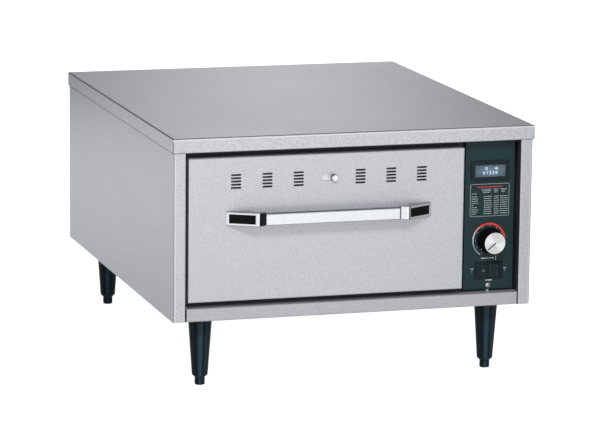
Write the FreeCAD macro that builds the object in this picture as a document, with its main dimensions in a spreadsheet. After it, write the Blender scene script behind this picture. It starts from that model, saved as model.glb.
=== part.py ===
import FreeCAD, Part
import math
import os
import Sketcher
from FreeCAD import Placement, Rotation, Vector

# A countertop warming drawer: a stainless cabinet on four legs, with one heated
# drawer on rollers and a column of controls at its right.
#
# Millimetres. +X is to the right, +Y to the back and +Z up. The origin is the
# middle of the whole object's footprint, on the counter.

doc = FreeCAD.newDocument("warming_drawer")

# ---------------------------------------------------------------------------
# Driving sizes
# ---------------------------------------------------------------------------

SIZES = {
    # cabinet
    "leg_h": 102.0,             # counter to the underside of the cabinet
    "sheet_t": 1.2,             # cabinet sheet metal
    "bend_r": 2.0,              # outside radius of a bend
    "cover_lip": 21.0,          # height of the cover's rim
    "cover_gap": 0.5,           # air between the cover's rim and the cabinet
    "post_w": 18.0,             # front flange of a side panel
    "post_return": 15.0,        # lip behind that flange
    "side_lip": 16.0,           # other flanges of a side panel
    "rail_h": 19.0,             # front rail under the drawer
    "rail_return": 24.0,        # its lower flange; the upper one ends at the face frame
    "rail_end_gap": 0.8,        # between the rail and each post
    # gaps round the drawer front
    "gap_left": 4.0,
    "gap_right": 6.5,
    "gap_top": 9.0,
    "gap_bottom": 8.7,
    # inner frame and hot box
    "frame_setback": 22.0,      # cabinet face to the face frame
    "lap_side": 9.0,            # drawer front over the frame's opening
    "lap_end": 10.2,
    "bumper_edge": 0.5,         # bumper to the edges of that lap
    "frame_lip": 12.0,          # flanges of the face frame
    "liner_t": 1.0,
    "liner_side": 2.0,          # liner wall outside the opening
    "liner_end": 6.0,
    "liner_lip": 6.0,
    "space_ahead": 25.2,        # carrier's back to the liner's back wall
    "space_behind": 47.2,       # liner's back to the back panel
    # control column
    "panel_w": 75.8,
    "panel_setback": 14.0,
    "panel_t": 1.5,
    "panel_gap": 4.0,           # to the right post
    "panel_rise": 3.0,          # over the front rail
    "panel_screw_rise": 6.0,    # plate's foot to its screw
    "tab_w": 3.6,               # neck of the rail's tab, seen under the plate
    # legs
    "leg_inset_x": 53.0,        # cover's edge to the leg's axis
    "leg_inset_y": 46.0,
    "leg_r": 17.6,              # top of a leg
    "leg_tip_r": 11.5,
    "leg_bevel": 4.0,           # at the lower end of a leg
    "foot_r": 7.4,
    "foot_show": 11.0,          # foot below the leg
    "foot_stem_r": 5.0,
    "foot_stem_l": 45.0,
    "stem_fit": 0.05,
    "stem_room": 1.0,           # over the stem in its bore
    "stud_r": 5.0,
    "stud_l": 12.0,
    "stud_fit": 0.1,
    "nut_r": 9.0,
    "nut_h": 6.0,
    "nut_room": 2.0,            # insulation cut back round a nut
    # drawer front and its vents
    "front_t": 20.0,            # depth of the folded drawer front
    "vent_pitch": 46.2,
    "vent_w": 14.5,
    "vent_h": 2.1,
    "vent_step": 4.6,
    "vent_drop": 34.5,          # drawer front's top edge to the middle of the vents
    "slider_w": 22.0,
    "slider_h": 9.6,
    "shutter_throw": 14.6,
    "shutter_t": 1.0,
    "shutter_h": 30.0,
    "shutter_gap": 0.3,
    "guide_h": 8.0,
    "vent_knob_r": 4.8,
    "vent_knob_out": 7.5,
    "vent_stem_r": 2.4,
    "vent_knob_shift": 6.2,     # slider's middle to the knob, vents open
    # handle
    "trim_shift": 2.0,          # handle and vents right of the drawer front's middle
    "handle_l": 306.0,
    "handle_drop": 87.0,        # drawer front's top edge to the handle's middle
    "handle_out": 23.0,
    "handle_slope": 41.0,
    "handle_h": 20.0,
    "handle_neck": 12.0,        # knee of a bracket to the bar
    "nose_drop": 4.6,           # bar's front to the neck beside it
    "nose_rise": 0.67,          # corner taken off by the knee's rounding
    "nose_r": 6.0,
    "pin_r": 0.9,
    "handle_screw_inset": 18.45,
    "bar_h": 17.5,
    "bar_t": 7.0,
    "bar_wall": 1.8,
    "inlay_edge": 3.4,
    "inlay_t": 1.4,
    # drawer slides
    "slide_w": 11.0,            # one channel, over its web and flanges
    "slide_gap": 1.0,           # between the two channels of a side
    "slide_t": 1.2,
    "roller_r": 15.5,
    "roller_w": 7.5,
    "run_gap": 0.3,             # between faces that move past each other
    "axle_r": 4.0,
    "axle_fit": 0.05,
    "collar_r": 6.0,
    "axle_head_t": 0.6,
    "slide_drop": 20.5,         # carrier's top to the rollers' centre
    "roller_inset": 26.0,       # face frame to the front rollers
    # pan carrier and pan
    "carrier_t": 1.5,
    "carrier_side": 13.65,      # carrier past the pan's rim at each side
    "carrier_back": 13.0,       # and at the back
    "carrier_below": 19.0,      # opening's top edge to the carrier's top
    "pan_w": 324.0,
    "pan_l": 527.0,
    "pan_d": 150.0,
    "pan_t": 0.8,
    "pan_rim": 12.0,
    "pan_hem": 4.0,
    "pan_corner_r": 38.0,
    "pan_floor_r": 18.0,
    "pan_taper": 3.0,           # degrees
    "pan_inset": 12.0,          # drawer front to the pan's rim
    "pan_play": 2.0,            # pan in the carrier's opening
    "pan_clear": 9.9,           # heating element to the pan's bottom
    # heating
    "element_r": 4.0,
    "element_lift": 14.0,       # liner floor to the element's axis
    "element_turn_r": 62.0,
    "element_first": 88.0,      # liner mouth to the first run
    "element_inset": 92.0,      # liner wall to the ends of the runs
    "element_tail": 24.0,       # element past the liner's wall
    "element_hole_gap": 0.8,
    "clip_w": 12.0,
    "clip_t": 8.0,
    "sensor_r": 3.5,
    "sensor_l": 90.0,
    "sensor_stand": 8.0,
    # display
    "bezel_w": 58.5,
    "bezel_h": 29.4,
    "bezel_t": 2.2,
    "display_rise": 197.4,      # cabinet's underside to the display's middle
    "screen_w": 46.8,
    "screen_h": 17.5,
    "screen_t": 1.2,
    "module_t": 9.0,
    # thermostat and knob
    "dial_rise": 94.7,          # cabinet's underside to the knob's axis
    "dial_shift": 1.0,          # knob and switch right of the panel's middle
    "shaft_r": 3.0,
    "shaft_l": 30.0,
    "shaft_fit": 0.05,
    "shaft_room": 2.0,          # behind the shaft in its bore
    "bush_r": 4.8,
    "bush_l": 7.0,
    "bush_fit": 0.1,
    "stat_w": 44.0,
    "stat_h": 36.0,
    "stat_t": 28.0,
    "knob_r": 19.0,
    "knob_top_r": 16.6,
    "knob_l": 24.0,
    "knob_step": 0.6,           # narrowing above the skirt's band
    "knob_bevel": 1.5,
    "knob_gap": 1.0,
    "cap_r": 15.7,
    "cap_t": 2.0,
    "cap_sink": 1.0,
    "pointer_l": 14.0,          # groove in the cap, from its middle
    "pointer_w": 1.3,
    "pointer_deep": 0.5,
    # power switch
    "switch_rise": 50.2,        # cabinet's underside to the switch's middle
    "switch_w": 42.3,
    "switch_h": 24.6,
    "switch_lip": 2.4,
    "switch_d": 26.0,
    "switch_wall": 0.6,         # outside the pivot bores
    "switch_play": 0.4,         # housing in the panel's cut-out
    "rocker_w": 27.8,
    "rocker_h": 19.0,
    "rocker_gap": 0.3,          # above and below the rocker
    "rocker_play": 1.2,         # beside it, where its ends swing
    "rocker_tilt": 9.0,
    "rocker_pivot": 5.4,        # bezel's face to the rocker's pivot
    "rocker_tip": 7.8,          # pivot to the rocker's raised ends
    "rocker_dip": 5.2,          # pivot to the valley between them
    "rocker_wall": 1.0,         # behind the pivot pins
    "pivot_r": 1.5,
    "pivot_l": 1.2,
    "pivot_fit": 0.05,
    # rear
    "gland_out": 20.0,          # past the cover
    "gland_r": 11.0,
    "gland_bore_r": 5.0,
    "gland_thread_r": 8.0,
    "gland_rise": 40.0,         # cabinet's underside to the gland's axis
    "gland_side": 60.0,         # right side of the cabinet to the gland's axis
    "gland_in": 14.0,
    "gland_fit": 0.2,
    "louvre_w": 52.0,
    "louvre_h": 4.0,
    "louvre_pitch": 12.0,
    "louvre_rise": 60.0,        # gland's axis to the lowest slot
    "block_w": 36.0,
    "block_d": 20.0,
    "block_h": 18.0,
    "block_inset": 80.0,        # back panel to the block
    # fasteners
    "screw_r": 1.9,
    "screw_l": 7.0,
    "screw_head_r": 3.6,
    "screw_head_h": 2.0,
    "screw_fit": 0.1,
    "screw_inset": 8.0,
    "cover_screw_inset": 40.0,  # cover's side to its outer screws
    "back_screw_rise": 25.0,    # cabinet's underside to the lower screws
    "wool_gap": 0.4,            # insulation to the sheet beside it
}


class Dim:
    """A size: its value now, and the sheet expression that it comes from."""

    def __init__(self, text, value):
        self.text = text
        self.value = value

    @staticmethod
    def of(thing):
        """Return a Dim for a plain number, and a Dim as it is."""
        if isinstance(thing, Dim):
            return thing
        return Dim("%.6g" % thing, float(thing))

    def __add__(self, other):
        other = Dim.of(other)
        return Dim("(%s + %s)" % (self.text, other.text), self.value + other.value)

    def __sub__(self, other):
        other = Dim.of(other)
        return Dim("(%s - %s)" % (self.text, other.text), self.value - other.value)

    def __mul__(self, other):
        other = Dim.of(other)
        return Dim("(%s * %s)" % (self.text, other.text), self.value * other.value)

    def __truediv__(self, other):
        other = Dim.of(other)
        return Dim("(%s / %s)" % (self.text, other.text), self.value / other.value)

    def __radd__(self, other):
        return Dim.of(other) + self

    def __rsub__(self, other):
        return Dim.of(other) - self

    def __rmul__(self, other):
        return Dim.of(other) * self

    def __neg__(self):
        return Dim("(0 - %s)" % self.text, -self.value)


class Sizes:
    """The spreadsheet of sizes. Setting an attribute adds a row; reading one gives its Dim."""

    def __init__(self, values):
        object.__setattr__(self, "sheet", doc.addObject("Spreadsheet::Sheet", "Sizes"))
        object.__setattr__(self, "rows", 0)
        for alias, value in values.items():
            self.add_row(alias, str(value), value)

    def __setattr__(self, alias, size):
        """Add a size that is worked out from other rows."""
        self.add_row(alias, "=" + size.text.replace("Sizes.", ""), size.value)

    def add_row(self, alias, content, value):
        """Write one row, and keep its Dim under its alias."""
        row = self.rows + 1
        cell = "B%d" % row
        self.sheet.set("A%d" % row, alias)
        self.sheet.set(cell, content)
        self.sheet.setAlias(cell, alias)
        object.__setattr__(self, "rows", row)
        object.__setattr__(self, alias, Dim("Sizes." + alias, float(value)))


s = Sizes(SIZES)


def bind(thing, prop, size):
    """Tie one property of an object to the sheet."""
    thing.setExpression(prop, Dim.of(size).text)


# ---------------------------------------------------------------------------
# Outlines: each draws itself in a sketch, with every coordinate tied
# ---------------------------------------------------------------------------

QUARTER = math.pi / 2
POINTER_DEGREES = 220           # the knob's pointer at its lowest setting, from +X towards +Z


def tie_point(sketch, geometry, vertex, x, y):
    """Hold one vertex of a sketch at (x, y) from the sketch's origin."""
    for kind, size in (("DistanceX", Dim.of(x)), ("DistanceY", Dim.of(y))):
        number = sketch.addConstraint(
            Sketcher.Constraint(kind, -1, 1, geometry, vertex, size.value))
        bind(sketch, "Constraints[%d]" % number, size)


def tie_radius(sketch, geometry, radius):
    """Hold the radius of a circle or an arc."""
    number = sketch.addConstraint(Sketcher.Constraint("Radius", geometry, radius.value))
    bind(sketch, "Constraints[%d]" % number, radius)


class Polygon:
    """A closed outline of straight edges through the given corners."""

    def __init__(self, *corners):
        self.corners = [(Dim.of(x), Dim.of(y)) for x, y in corners]

    def draw(self, sketch):
        """Add the edges and tie each corner."""
        first = sketch.GeometryCount
        count = len(self.corners)
        spots = [Vector(x.value, y.value, 0) for x, y in self.corners]
        for i in range(count):
            sketch.addGeometry(Part.LineSegment(spots[i], spots[(i + 1) % count]), False)
        for i in range(count):
            after = first + (i + 1) % count
            sketch.addConstraint(Sketcher.Constraint("Coincident", first + i, 2, after, 1))
        for i, (x, y) in enumerate(self.corners):
            tie_point(sketch, first + i, 1, x, y)


def rect(x_low, x_high, y_low, y_high):
    """Return a rectangle from its four sides."""
    return Polygon((x_low, y_low), (x_high, y_low), (x_high, y_high), (x_low, y_high))


def centred(x, y, width, height):
    """Return a rectangle from its middle and its size."""
    return rect(x - width / 2, x + width / 2, y - height / 2, y + height / 2)


class Circle:
    """A circle from its centre and radius."""

    def __init__(self, x, y, radius):
        self.x = Dim.of(x)
        self.y = Dim.of(y)
        self.radius = Dim.of(radius)

    def draw(self, sketch):
        """Add the circle and tie its centre and radius."""
        centre = Vector(self.x.value, self.y.value, 0)
        circle = Part.Circle(centre, Vector(0, 0, 1), self.radius.value)
        number = sketch.addGeometry(circle, False)
        tie_point(sketch, number, 3, self.x, self.y)
        tie_radius(sketch, number, self.radius)


class RoundRect:
    """A rectangle with round corners, from its four sides and a radius."""

    def __init__(self, x_low, x_high, y_low, y_high, radius):
        self.radius = radius
        self.centres = [(x_low + radius, y_low + radius), (x_high - radius, y_low + radius),
                        (x_high - radius, y_high - radius), (x_low + radius, y_high - radius)]

    def draw(self, sketch):
        """Add four arcs joined by four tangent lines."""
        radius = self.radius.value
        arcs, lines = [], []
        spots = [Vector(x.value, y.value, 0) for x, y in self.centres]
        outward = [Vector(0, -1, 0), Vector(1, 0, 0), Vector(0, 1, 0), Vector(-1, 0, 0)]
        for i, spot in enumerate(spots):
            circle = Part.Circle(spot, Vector(0, 0, 1), radius)
            start = QUARTER * (i + 2)
            arcs.append(sketch.addGeometry(Part.ArcOfCircle(circle, start, start + QUARTER), False))
        for i, side in enumerate(outward):
            start, stop = spots[i] + side * radius, spots[(i + 1) % 4] + side * radius
            lines.append(sketch.addGeometry(Part.LineSegment(start, stop), False))
        for i in range(4):
            sketch.addConstraint(Sketcher.Constraint("Tangent", arcs[i], 2, lines[i], 1))
            sketch.addConstraint(Sketcher.Constraint("Tangent", lines[i], 2, arcs[(i + 1) % 4], 1))
        for arc in arcs[1:]:
            sketch.addConstraint(Sketcher.Constraint("Equal", arcs[0], arc))
        for arc, (x, y) in zip(arcs, self.centres):
            tie_point(sketch, arc, 3, x, y)
        tie_radius(sketch, arcs[0], self.radius)


class Slot:
    """A slot along X with round ends, from its middle, length and height."""

    def __init__(self, x, y, length, height):
        self.y = Dim.of(y)
        self.radius = Dim.of(height) / 2
        self.ends = (x - length / 2 + self.radius, x + length / 2 - self.radius)

    def draw(self, sketch):
        """Add two arcs and two lines, tangent to each other."""
        left, right = self.ends
        radius = self.radius.value
        up = Vector(0, radius, 0)
        left_spot = Vector(left.value, self.y.value, 0)
        right_spot = Vector(right.value, self.y.value, 0)
        arcs = []
        for spot, start in ((left_spot, QUARTER), (right_spot, -QUARTER)):
            circle = Part.Circle(spot, Vector(0, 0, 1), radius)
            arcs.append(sketch.addGeometry(Part.ArcOfCircle(circle, start, start + 2 * QUARTER), False))
        low = sketch.addGeometry(Part.LineSegment(left_spot - up, right_spot - up), False)
        top = sketch.addGeometry(Part.LineSegment(right_spot + up, left_spot + up), False)
        for one, end, other, start in ((arcs[0], 2, low, 1), (low, 2, arcs[1], 1),
                                       (arcs[1], 2, top, 1), (top, 2, arcs[0], 1)):
            sketch.addConstraint(Sketcher.Constraint("Tangent", one, end, other, start))
        sketch.addConstraint(Sketcher.Constraint("Equal", arcs[0], arcs[1]))
        tie_point(sketch, arcs[0], 3, left, self.y)
        tie_point(sketch, arcs[1], 3, right, self.y)
        tie_radius(sketch, arcs[0], self.radius)


# ---------------------------------------------------------------------------
# Pieces
# ---------------------------------------------------------------------------

# How a sketch on each origin plane reads: the sign of its normal in the model.
NORMAL = {"XY": 1, "XZ": -1, "YZ": 1}

# Turns that lay a piece modelled along +Z along another direction.
FACING = {
    "up": Rotation(),
    "front": Rotation(Vector(1, 0, 0), 90),
    "right": Rotation(Vector(0, 1, 0), 90),
    "back": Rotation(Vector(1, 0, 0), -90),
}

nodes = []


class Piece:
    """One sub-part as a PartDesign body, built a feature at a time."""

    def __init__(self, node, at=None, facing="up"):
        self.body = doc.addObject("PartDesign::Body", node)
        self.body.Label = node
        self.body.AllowCompound = True
        self.planes = {item.Role: item for item in self.body.Origin.OriginFeatures}
        if at is not None:
            self.body.Placement = Placement(Vector(), FACING[facing])
            for axis, size in zip("xyz", at):
                bind(self.body, "Placement.Base." + axis, size)
        nodes.append(self.body)

    def sketch(self, plane, level, outlines):
        """Draw outlines on an origin plane, moved to a level along its axis."""
        sketch = self.body.newObject("Sketcher::SketchObject", "Profile")
        sketch.AttachmentSupport = [(self.planes[plane + "_Plane"], "")]
        sketch.MapMode = "FlatFace"
        bind(sketch, "AttachmentOffset.Base.z", Dim.of(level) * NORMAL[plane])
        for outline in outlines:
            outline.draw(sketch)
        return sketch

    def feature(self, kind, sketch):
        """Add one sketch-based feature."""
        feature = self.body.newObject("PartDesign::" + kind, kind)
        feature.Profile = sketch
        self.body.Tip = feature
        return feature

    def pad(self, plane, level, outlines, length, towards=1):
        """Add material over outlines, towards + or - along the plane's axis."""
        pad = self.feature("Pad", self.sketch(plane, level, outlines))
        pad.Reversed = towards * NORMAL[plane] < 0
        bind(pad, "Length", length)
        return pad

    def pocket(self, plane, level, outlines, length, towards=1):
        """Cut outlines out, towards + or - along the plane's axis."""
        pocket = self.feature("Pocket", self.sketch(plane, level, outlines))
        pocket.Reversed = towards * NORMAL[plane] > 0
        bind(pocket, "Length", length)
        return pocket

    def revolve(self, outline, x=0, y=0):
        """Turn an outline of (radius, height) about a line along the body's Z."""
        sketch = self.sketch("XZ", y, [outline])
        bind(sketch, "AttachmentOffset.Base.x", x)
        feature = self.feature("Revolution", sketch)
        feature.ReferenceAxis = (sketch, ["V_Axis"])
        feature.Angle = 360
        return feature

    def bend(self, x, y, outline, way):
        """Carry an outline of (y, z) half round a line along Z at (x, y), towards + or - X."""
        sketch = self.sketch("YZ", x, [outline])
        bind(sketch, "AttachmentOffset.Base.x", y)
        feature = self.feature("Revolution", sketch)
        feature.ReferenceAxis = (sketch, ["V_Axis"])
        feature.Angle = 180
        feature.Reversed = way < 0
        return feature

    def pattern(self, feature, first, second=None):
        """Repeat a feature along one or two axes, each as (axis, pitch, count)."""
        pattern = self.body.newObject("PartDesign::LinearPattern", "Pattern")
        pattern.Originals = [feature]
        for suffix, row in (("", first), ("2", second)):
            if row is None:
                continue
            axis, pitch, count = row
            setattr(pattern, "Direction" + suffix, (self.planes[axis + "_Axis"], [""]))
            setattr(pattern, "Mode" + suffix, "Spacing")
            setattr(pattern, "Occurrences" + suffix, count)
            setattr(pattern, "Spacings" + suffix, [-1.0] * (count - 1))
            bind(pattern, "Offset" + suffix, pitch)
        self.body.Tip = pattern
        return pattern

    def edges(self, chosen):
        """Return the names of the present solid's edges that a test picks."""
        doc.recompute()
        shape = self.body.Tip.Shape
        return ["Edge%d" % i for i, edge in enumerate(shape.Edges, start=1) if chosen(edge)]

    def soften(self, radius, chosen, kind="Fillet"):
        """Round or bevel the edges that a test picks."""
        names = self.edges(chosen)
        base = self.body.Tip
        feature = self.body.newObject("PartDesign::" + kind, kind)
        feature.Base = (base, names)
        bind(feature, "Radius" if kind == "Fillet" else "Size", radius)
        self.body.Tip = feature
        return feature


def near(value, size, slack=0.01):
    """Say whether a coordinate lies at a size."""
    return abs(value - Dim.of(size).value) < slack


def along(edge, axis):
    """Say whether a straight edge runs along x, y or z."""
    if edge.Curve.TypeId != "Part::GeomLine":
        return False
    return abs(getattr(edge.Curve.Direction, axis)) > 0.999


def middle(edge):
    """Return the middle of an edge's box."""
    return edge.BoundBox.Center


# ---------------------------------------------------------------------------
# Places worked out from the sizes
# ---------------------------------------------------------------------------

# the drawer, from its pan outwards
s.carrier_l = s.pan_inset + s.pan_l + s.carrier_back
s.carrier_half = s.pan_w / 2 + s.carrier_side
s.bay_half = s.carrier_half + 2 * s.slide_w + s.slide_gap
s.open_w = 2 * s.bay_half - 2 * s.liner_side
s.front_w = s.open_w + 2 * s.lap_side
s.open_h = (s.element_lift + s.element_r + s.pan_clear + s.pan_d - s.pan_hem
            + s.carrier_below - s.liner_end)
s.front_h = s.open_h + 2 * s.lap_end
s.liner_d = s.front_t + s.carrier_l + s.space_ahead + s.liner_t - s.frame_setback - s.sheet_t

# the cabinet round it
s.overhang = s.sheet_t + s.cover_gap
s.control_w = s.gap_right + s.panel_w + s.panel_gap
s.cover_w = 2 * (s.overhang + s.post_w) + s.gap_left + s.front_w + s.control_w
s.cover_d = 2 * (s.overhang + s.sheet_t) + s.frame_setback + s.liner_d + s.space_behind
s.body_h = s.rail_h + s.gap_bottom + s.front_h + s.gap_top + s.cover_lip

# front to back
s.cover_front = (s.handle_out - s.overhang - s.cover_d - s.gland_out) / 2
s.cover_back = s.cover_front + s.cover_d
s.face_y = s.cover_front + s.overhang       # front of the cabinet and of the drawer
s.back_y = s.cover_back - s.overhang        # outside of the back panel
s.inner_back = s.back_y - s.sheet_t
s.frame_y = s.face_y + s.frame_setback
s.liner_y = s.frame_y + s.sheet_t
s.panel_y = s.face_y + s.panel_setback
s.panel_rear = s.panel_y + s.panel_t
s.front_rear = s.face_y + s.front_t         # back of the drawer front

# side to side
s.side_x = s.cover_w / 2 - s.overhang       # outside of each side panel
s.wall_x = s.side_x - s.sheet_t
s.post_x = s.side_x - s.post_w
s.panel_high = s.post_x - s.panel_gap
s.panel_low = s.panel_high - s.panel_w
s.panel_mid = (s.panel_low + s.panel_high) / 2
s.control_x = s.panel_mid + s.dial_shift
s.front_low = s.gap_left - s.post_x
s.front_high = s.front_low + s.front_w
s.trim_x = s.front_low + s.front_w / 2 + s.trim_shift
s.open_low = s.front_low + s.lap_side
s.open_high = s.front_high - s.lap_side
s.liner_low = s.open_low - s.liner_side
s.liner_high = s.open_high + s.liner_side
s.bay_x = s.liner_low + s.bay_half
s.frame_right = s.panel_low + s.panel_t
s.divider_x = s.frame_right - 2 * s.sheet_t     # drawer side of the divider

# up and down
s.floor_z = Dim.of(s.leg_h)
s.cover_z = s.floor_z + s.body_h
s.roof_z = s.cover_z - s.sheet_t
s.deck_low = s.floor_z + s.sheet_t
s.deck_z = s.deck_low + s.sheet_t           # top of the bottom pan
s.rail_top = s.floor_z + s.rail_h
s.front_bottom = s.rail_top + s.gap_bottom
s.front_top = s.front_bottom + s.front_h
s.open_bottom = s.front_bottom + s.lap_end
s.open_top = s.front_top - s.lap_end
s.liner_floor = s.open_bottom - s.liner_end
s.liner_roof = s.open_top + s.liner_end
s.vent_z = s.front_top - s.vent_drop
s.handle_z = s.front_top - s.handle_drop
s.carrier_top = s.open_top - s.carrier_below
s.roller_z = s.carrier_top - s.slide_drop
s.panel_foot = s.rail_top + s.panel_rise
s.dial_z = s.floor_z + s.dial_rise
s.switch_z = s.floor_z + s.switch_rise
s.display_z = s.floor_z + s.display_rise
s.panel_screw_z = s.panel_foot + s.panel_screw_rise

# legs
s.leg_x = s.cover_w / 2 - s.leg_inset_x
s.leg_front_y = s.cover_front + s.leg_inset_y
s.leg_pitch_y = s.cover_d - 2 * s.leg_inset_y

# screws
s.hole_r = s.screw_r + s.screw_fit
s.cover_screw_x = s.cover_w / 2 - s.cover_screw_inset
s.back_screw_x = s.side_x - s.screw_inset
s.back_screw_z = s.floor_z + s.back_screw_rise
s.back_screw_pitch = s.body_h - s.cover_lip - 2 * s.back_screw_rise
s.handle_screw_x = s.handle_l / 2 - s.handle_screw_inset

# handle, from its middle
s.inlay_h = s.handle_h - 2 * s.inlay_edge
s.handle_knee = s.handle_l / 2 - s.handle_slope
s.bar_half = s.handle_knee - s.handle_neck

# heating element and cord gland
s.element_z = s.liner_floor + s.element_lift
s.element_front = s.liner_y + s.element_first
s.element_back = s.element_front + 6 * s.element_turn_r
s.element_left = s.liner_low + s.element_inset
s.element_right = s.liner_high - s.element_inset
s.element_hole_r = s.element_r + s.element_hole_gap
s.gland_x = s.side_x - s.gland_side
s.gland_z = s.floor_z + s.gland_rise

# rollers and pan
s.front_roller_y = s.frame_y + s.roller_inset
s.rear_roller_y = s.front_rear + s.carrier_l - s.roller_inset
s.pan_front = s.front_rear + s.pan_inset
s.rim_z = s.carrier_top + s.pan_hem

# vent shutter and switch
s.shutter_y = s.face_y + s.sheet_t + s.shutter_gap
s.well_w = s.rocker_w + 2 * s.rocker_play
s.well_h = s.rocker_h + 2 * s.rocker_gap
s.switch_body_w = s.well_w + 2 * (s.pivot_l + s.switch_wall)
s.switch_body_h = s.well_h + 2 * (s.pivot_l + s.switch_wall)
s.pivot_y = s.panel_y - s.switch_lip + s.rocker_pivot
doc.recompute()


def add_screw(piece, x, y, seat):
    """Add a screw whose flat head stands on a seat, along the body's Z."""
    tip, top = seat - s.screw_l, seat + s.screw_head_h
    outline = Polygon((0, tip), (s.screw_r, tip), (s.screw_r, seat), (s.screw_head_r, seat),
                      (s.screw_head_r, top), (0, top))
    return piece.revolve(outline, x=x, y=y)


# ---------------------------------------------------------------------------
# Cabinet
# ---------------------------------------------------------------------------

def build_cover():
    """Top cover: a flat sheet with a rim all round, screwed on at the back."""
    cover = Piece("top_cover")
    half = s.cover_w / 2
    inner = half - s.sheet_t
    low = s.cover_z - s.cover_lip
    cover.pad("XY", low, [rect(-half, half, s.cover_front, s.cover_back)], s.cover_lip)
    cover.soften(s.bend_r, lambda e: near(middle(e).z, s.cover_z))
    cover.pocket("XY", low, [rect(-inner, inner, s.cover_front + s.sheet_t, s.cover_back - s.sheet_t)],
                 s.cover_lip - s.sheet_t)
    hole = Circle(-s.cover_screw_x, s.cover_z - s.cover_lip / 2, s.hole_r)
    holes = cover.pocket("XZ", s.cover_back, [hole], s.sheet_t, -1)
    cover.pattern(holes, ("X", s.cover_screw_x, 3))


def build_side(node, side):
    """Side panel: one folded sheet with a front post and three other flanges."""
    panel = Piece(node)
    t = s.sheet_t
    rear = s.inner_back
    corners = (
        (s.post_x, s.face_y), (s.side_x, s.face_y), (s.side_x, rear), (s.side_x - s.side_lip, rear),
        (s.side_x - s.side_lip, rear - t), (s.wall_x, rear - t), (s.wall_x, s.face_y + t),
        (s.post_x + t, s.face_y + t), (s.post_x + t, s.face_y + s.post_return),
        (s.post_x, s.face_y + s.post_return))
    panel.pad("XY", s.floor_z, [Polygon(*((side * x, y) for x, y in corners))], s.roof_z - s.floor_z)
    lip = Polygon(*((side * x, y) for x, y in (
        (s.side_x - s.side_lip, s.face_y + s.post_return), (s.wall_x, s.face_y + s.post_return),
        (s.wall_x, rear - t), (s.side_x - s.side_lip, rear - t))))
    panel.pad("XY", s.floor_z, [lip], t)
    panel.pad("XY", s.roof_z, [lip], t, -1)
    panel.soften(s.bend_r, lambda e: along(e, "z") and near(middle(e).y, s.face_y)
                 and (near(middle(e).x, side * s.side_x) or near(middle(e).x, side * s.post_x)))
    hole = Circle(side * s.back_screw_x, s.back_screw_z, s.hole_r)
    holes = panel.pocket("XZ", rear, [hole], t, -1)
    panel.pattern(holes, ("Z", s.back_screw_pitch, 2))


def build_back():
    """Back panel: a flat sheet with louvre slots and the hole for the gland."""
    back = Piece("back_panel")
    back.pad("XZ", s.inner_back, [rect(-s.side_x, s.side_x, s.floor_z, s.roof_z)], s.sheet_t)
    side_screw = Circle(-s.back_screw_x, s.back_screw_z, s.hole_r)
    side_hole = back.pocket("XZ", s.inner_back, [side_screw], s.sheet_t)
    back.pattern(side_hole, ("X", 2 * s.back_screw_x, 2), ("Z", s.back_screw_pitch, 2))
    top_screw = Circle(-s.cover_screw_x, s.cover_z - s.cover_lip / 2, s.hole_r)
    top_hole = back.pocket("XZ", s.inner_back, [top_screw], s.sheet_t)
    back.pattern(top_hole, ("X", s.cover_screw_x, 3))
    gland_hole = Circle(s.gland_x, s.gland_z, s.gland_thread_r + s.gland_fit)
    back.pocket("XZ", s.inner_back, [gland_hole], s.sheet_t)
    slot = centred(s.gland_x, s.gland_z + s.louvre_rise, s.louvre_w, s.louvre_h)
    slots = back.pocket("XZ", s.inner_back, [slot], s.sheet_t)
    back.pattern(slots, ("Z", s.louvre_pitch, 7))


def build_bottom():
    """Bottom pan: carries the legs, and lies on the side panels' lower flanges."""
    pan = Piece("bottom_pan")
    front = s.face_y + s.post_return
    rear = s.inner_back - s.sheet_t
    pan.pad("XY", s.deck_low, [rect(-s.wall_x, s.wall_x, front, rear)], s.sheet_t)
    inner = s.side_x - s.side_lip
    pan.pad("XY", s.deck_z, [rect(-inner, inner, rear - s.sheet_t, rear)], s.side_lip)
    hole = pan.pocket("XY", s.deck_low, [Circle(-s.leg_x, s.leg_front_y, s.stud_r + s.stud_fit)], s.sheet_t)
    pan.pattern(hole, ("X", 2 * s.leg_x, 2), ("Y", s.leg_pitch_y, 2))


def build_rail():
    """Front rail: a channel between the posts, with the tab that holds the panel."""
    rail = Piece("front_rail")
    t = s.sheet_t
    deep = s.face_y + s.rail_return
    start = s.rail_end_gap - s.post_x
    channel = Polygon(
        (s.face_y, s.floor_z), (deep, s.floor_z), (deep, s.floor_z + t),
        (s.face_y + t, s.floor_z + t), (s.face_y + t, s.rail_top - t),
        (s.frame_y, s.rail_top - t), (s.frame_y, s.rail_top), (s.face_y, s.rail_top))
    rail.pad("YZ", start, [channel], -2 * start)
    x, shoulder = s.panel_mid, s.panel_foot + t
    wide, narrow = s.screw_inset, s.tab_w / 2
    tab = Polygon((x - narrow, s.rail_top - t / 2), (x + narrow, s.rail_top - t / 2), (x + narrow, shoulder),
                  (x + wide, shoulder), (x + wide, s.panel_screw_z + wide),
                  (x - wide, s.panel_screw_z + wide), (x - wide, shoulder), (x - narrow, shoulder))
    rail.pad("XZ", s.panel_rear, [tab], t)
    rail.soften(s.bend_r, lambda e: along(e, "x") and near(middle(e).y, s.face_y))
    rail.pocket("XZ", s.panel_rear, [Circle(s.panel_mid, s.panel_screw_z, s.hole_r)], t)


def build_face_frame():
    """Face frame: the flanged sheet that the drawer closes on."""
    frame = Piece("face_frame")
    t = s.sheet_t
    top = s.roof_z - t
    frame.pad("XZ", s.frame_y, [rect(-s.wall_x, s.frame_right, s.deck_z, top)], s.frame_lip)
    hollow = rect(t - s.wall_x, s.frame_right - t, s.deck_z + t, top - t)
    frame.pocket("XZ", s.frame_y + s.frame_lip, [hollow], s.frame_lip - t, -1)
    frame.pocket("XZ", s.frame_y, [rect(s.open_low, s.open_high, s.open_bottom, s.open_top)], t)


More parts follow.
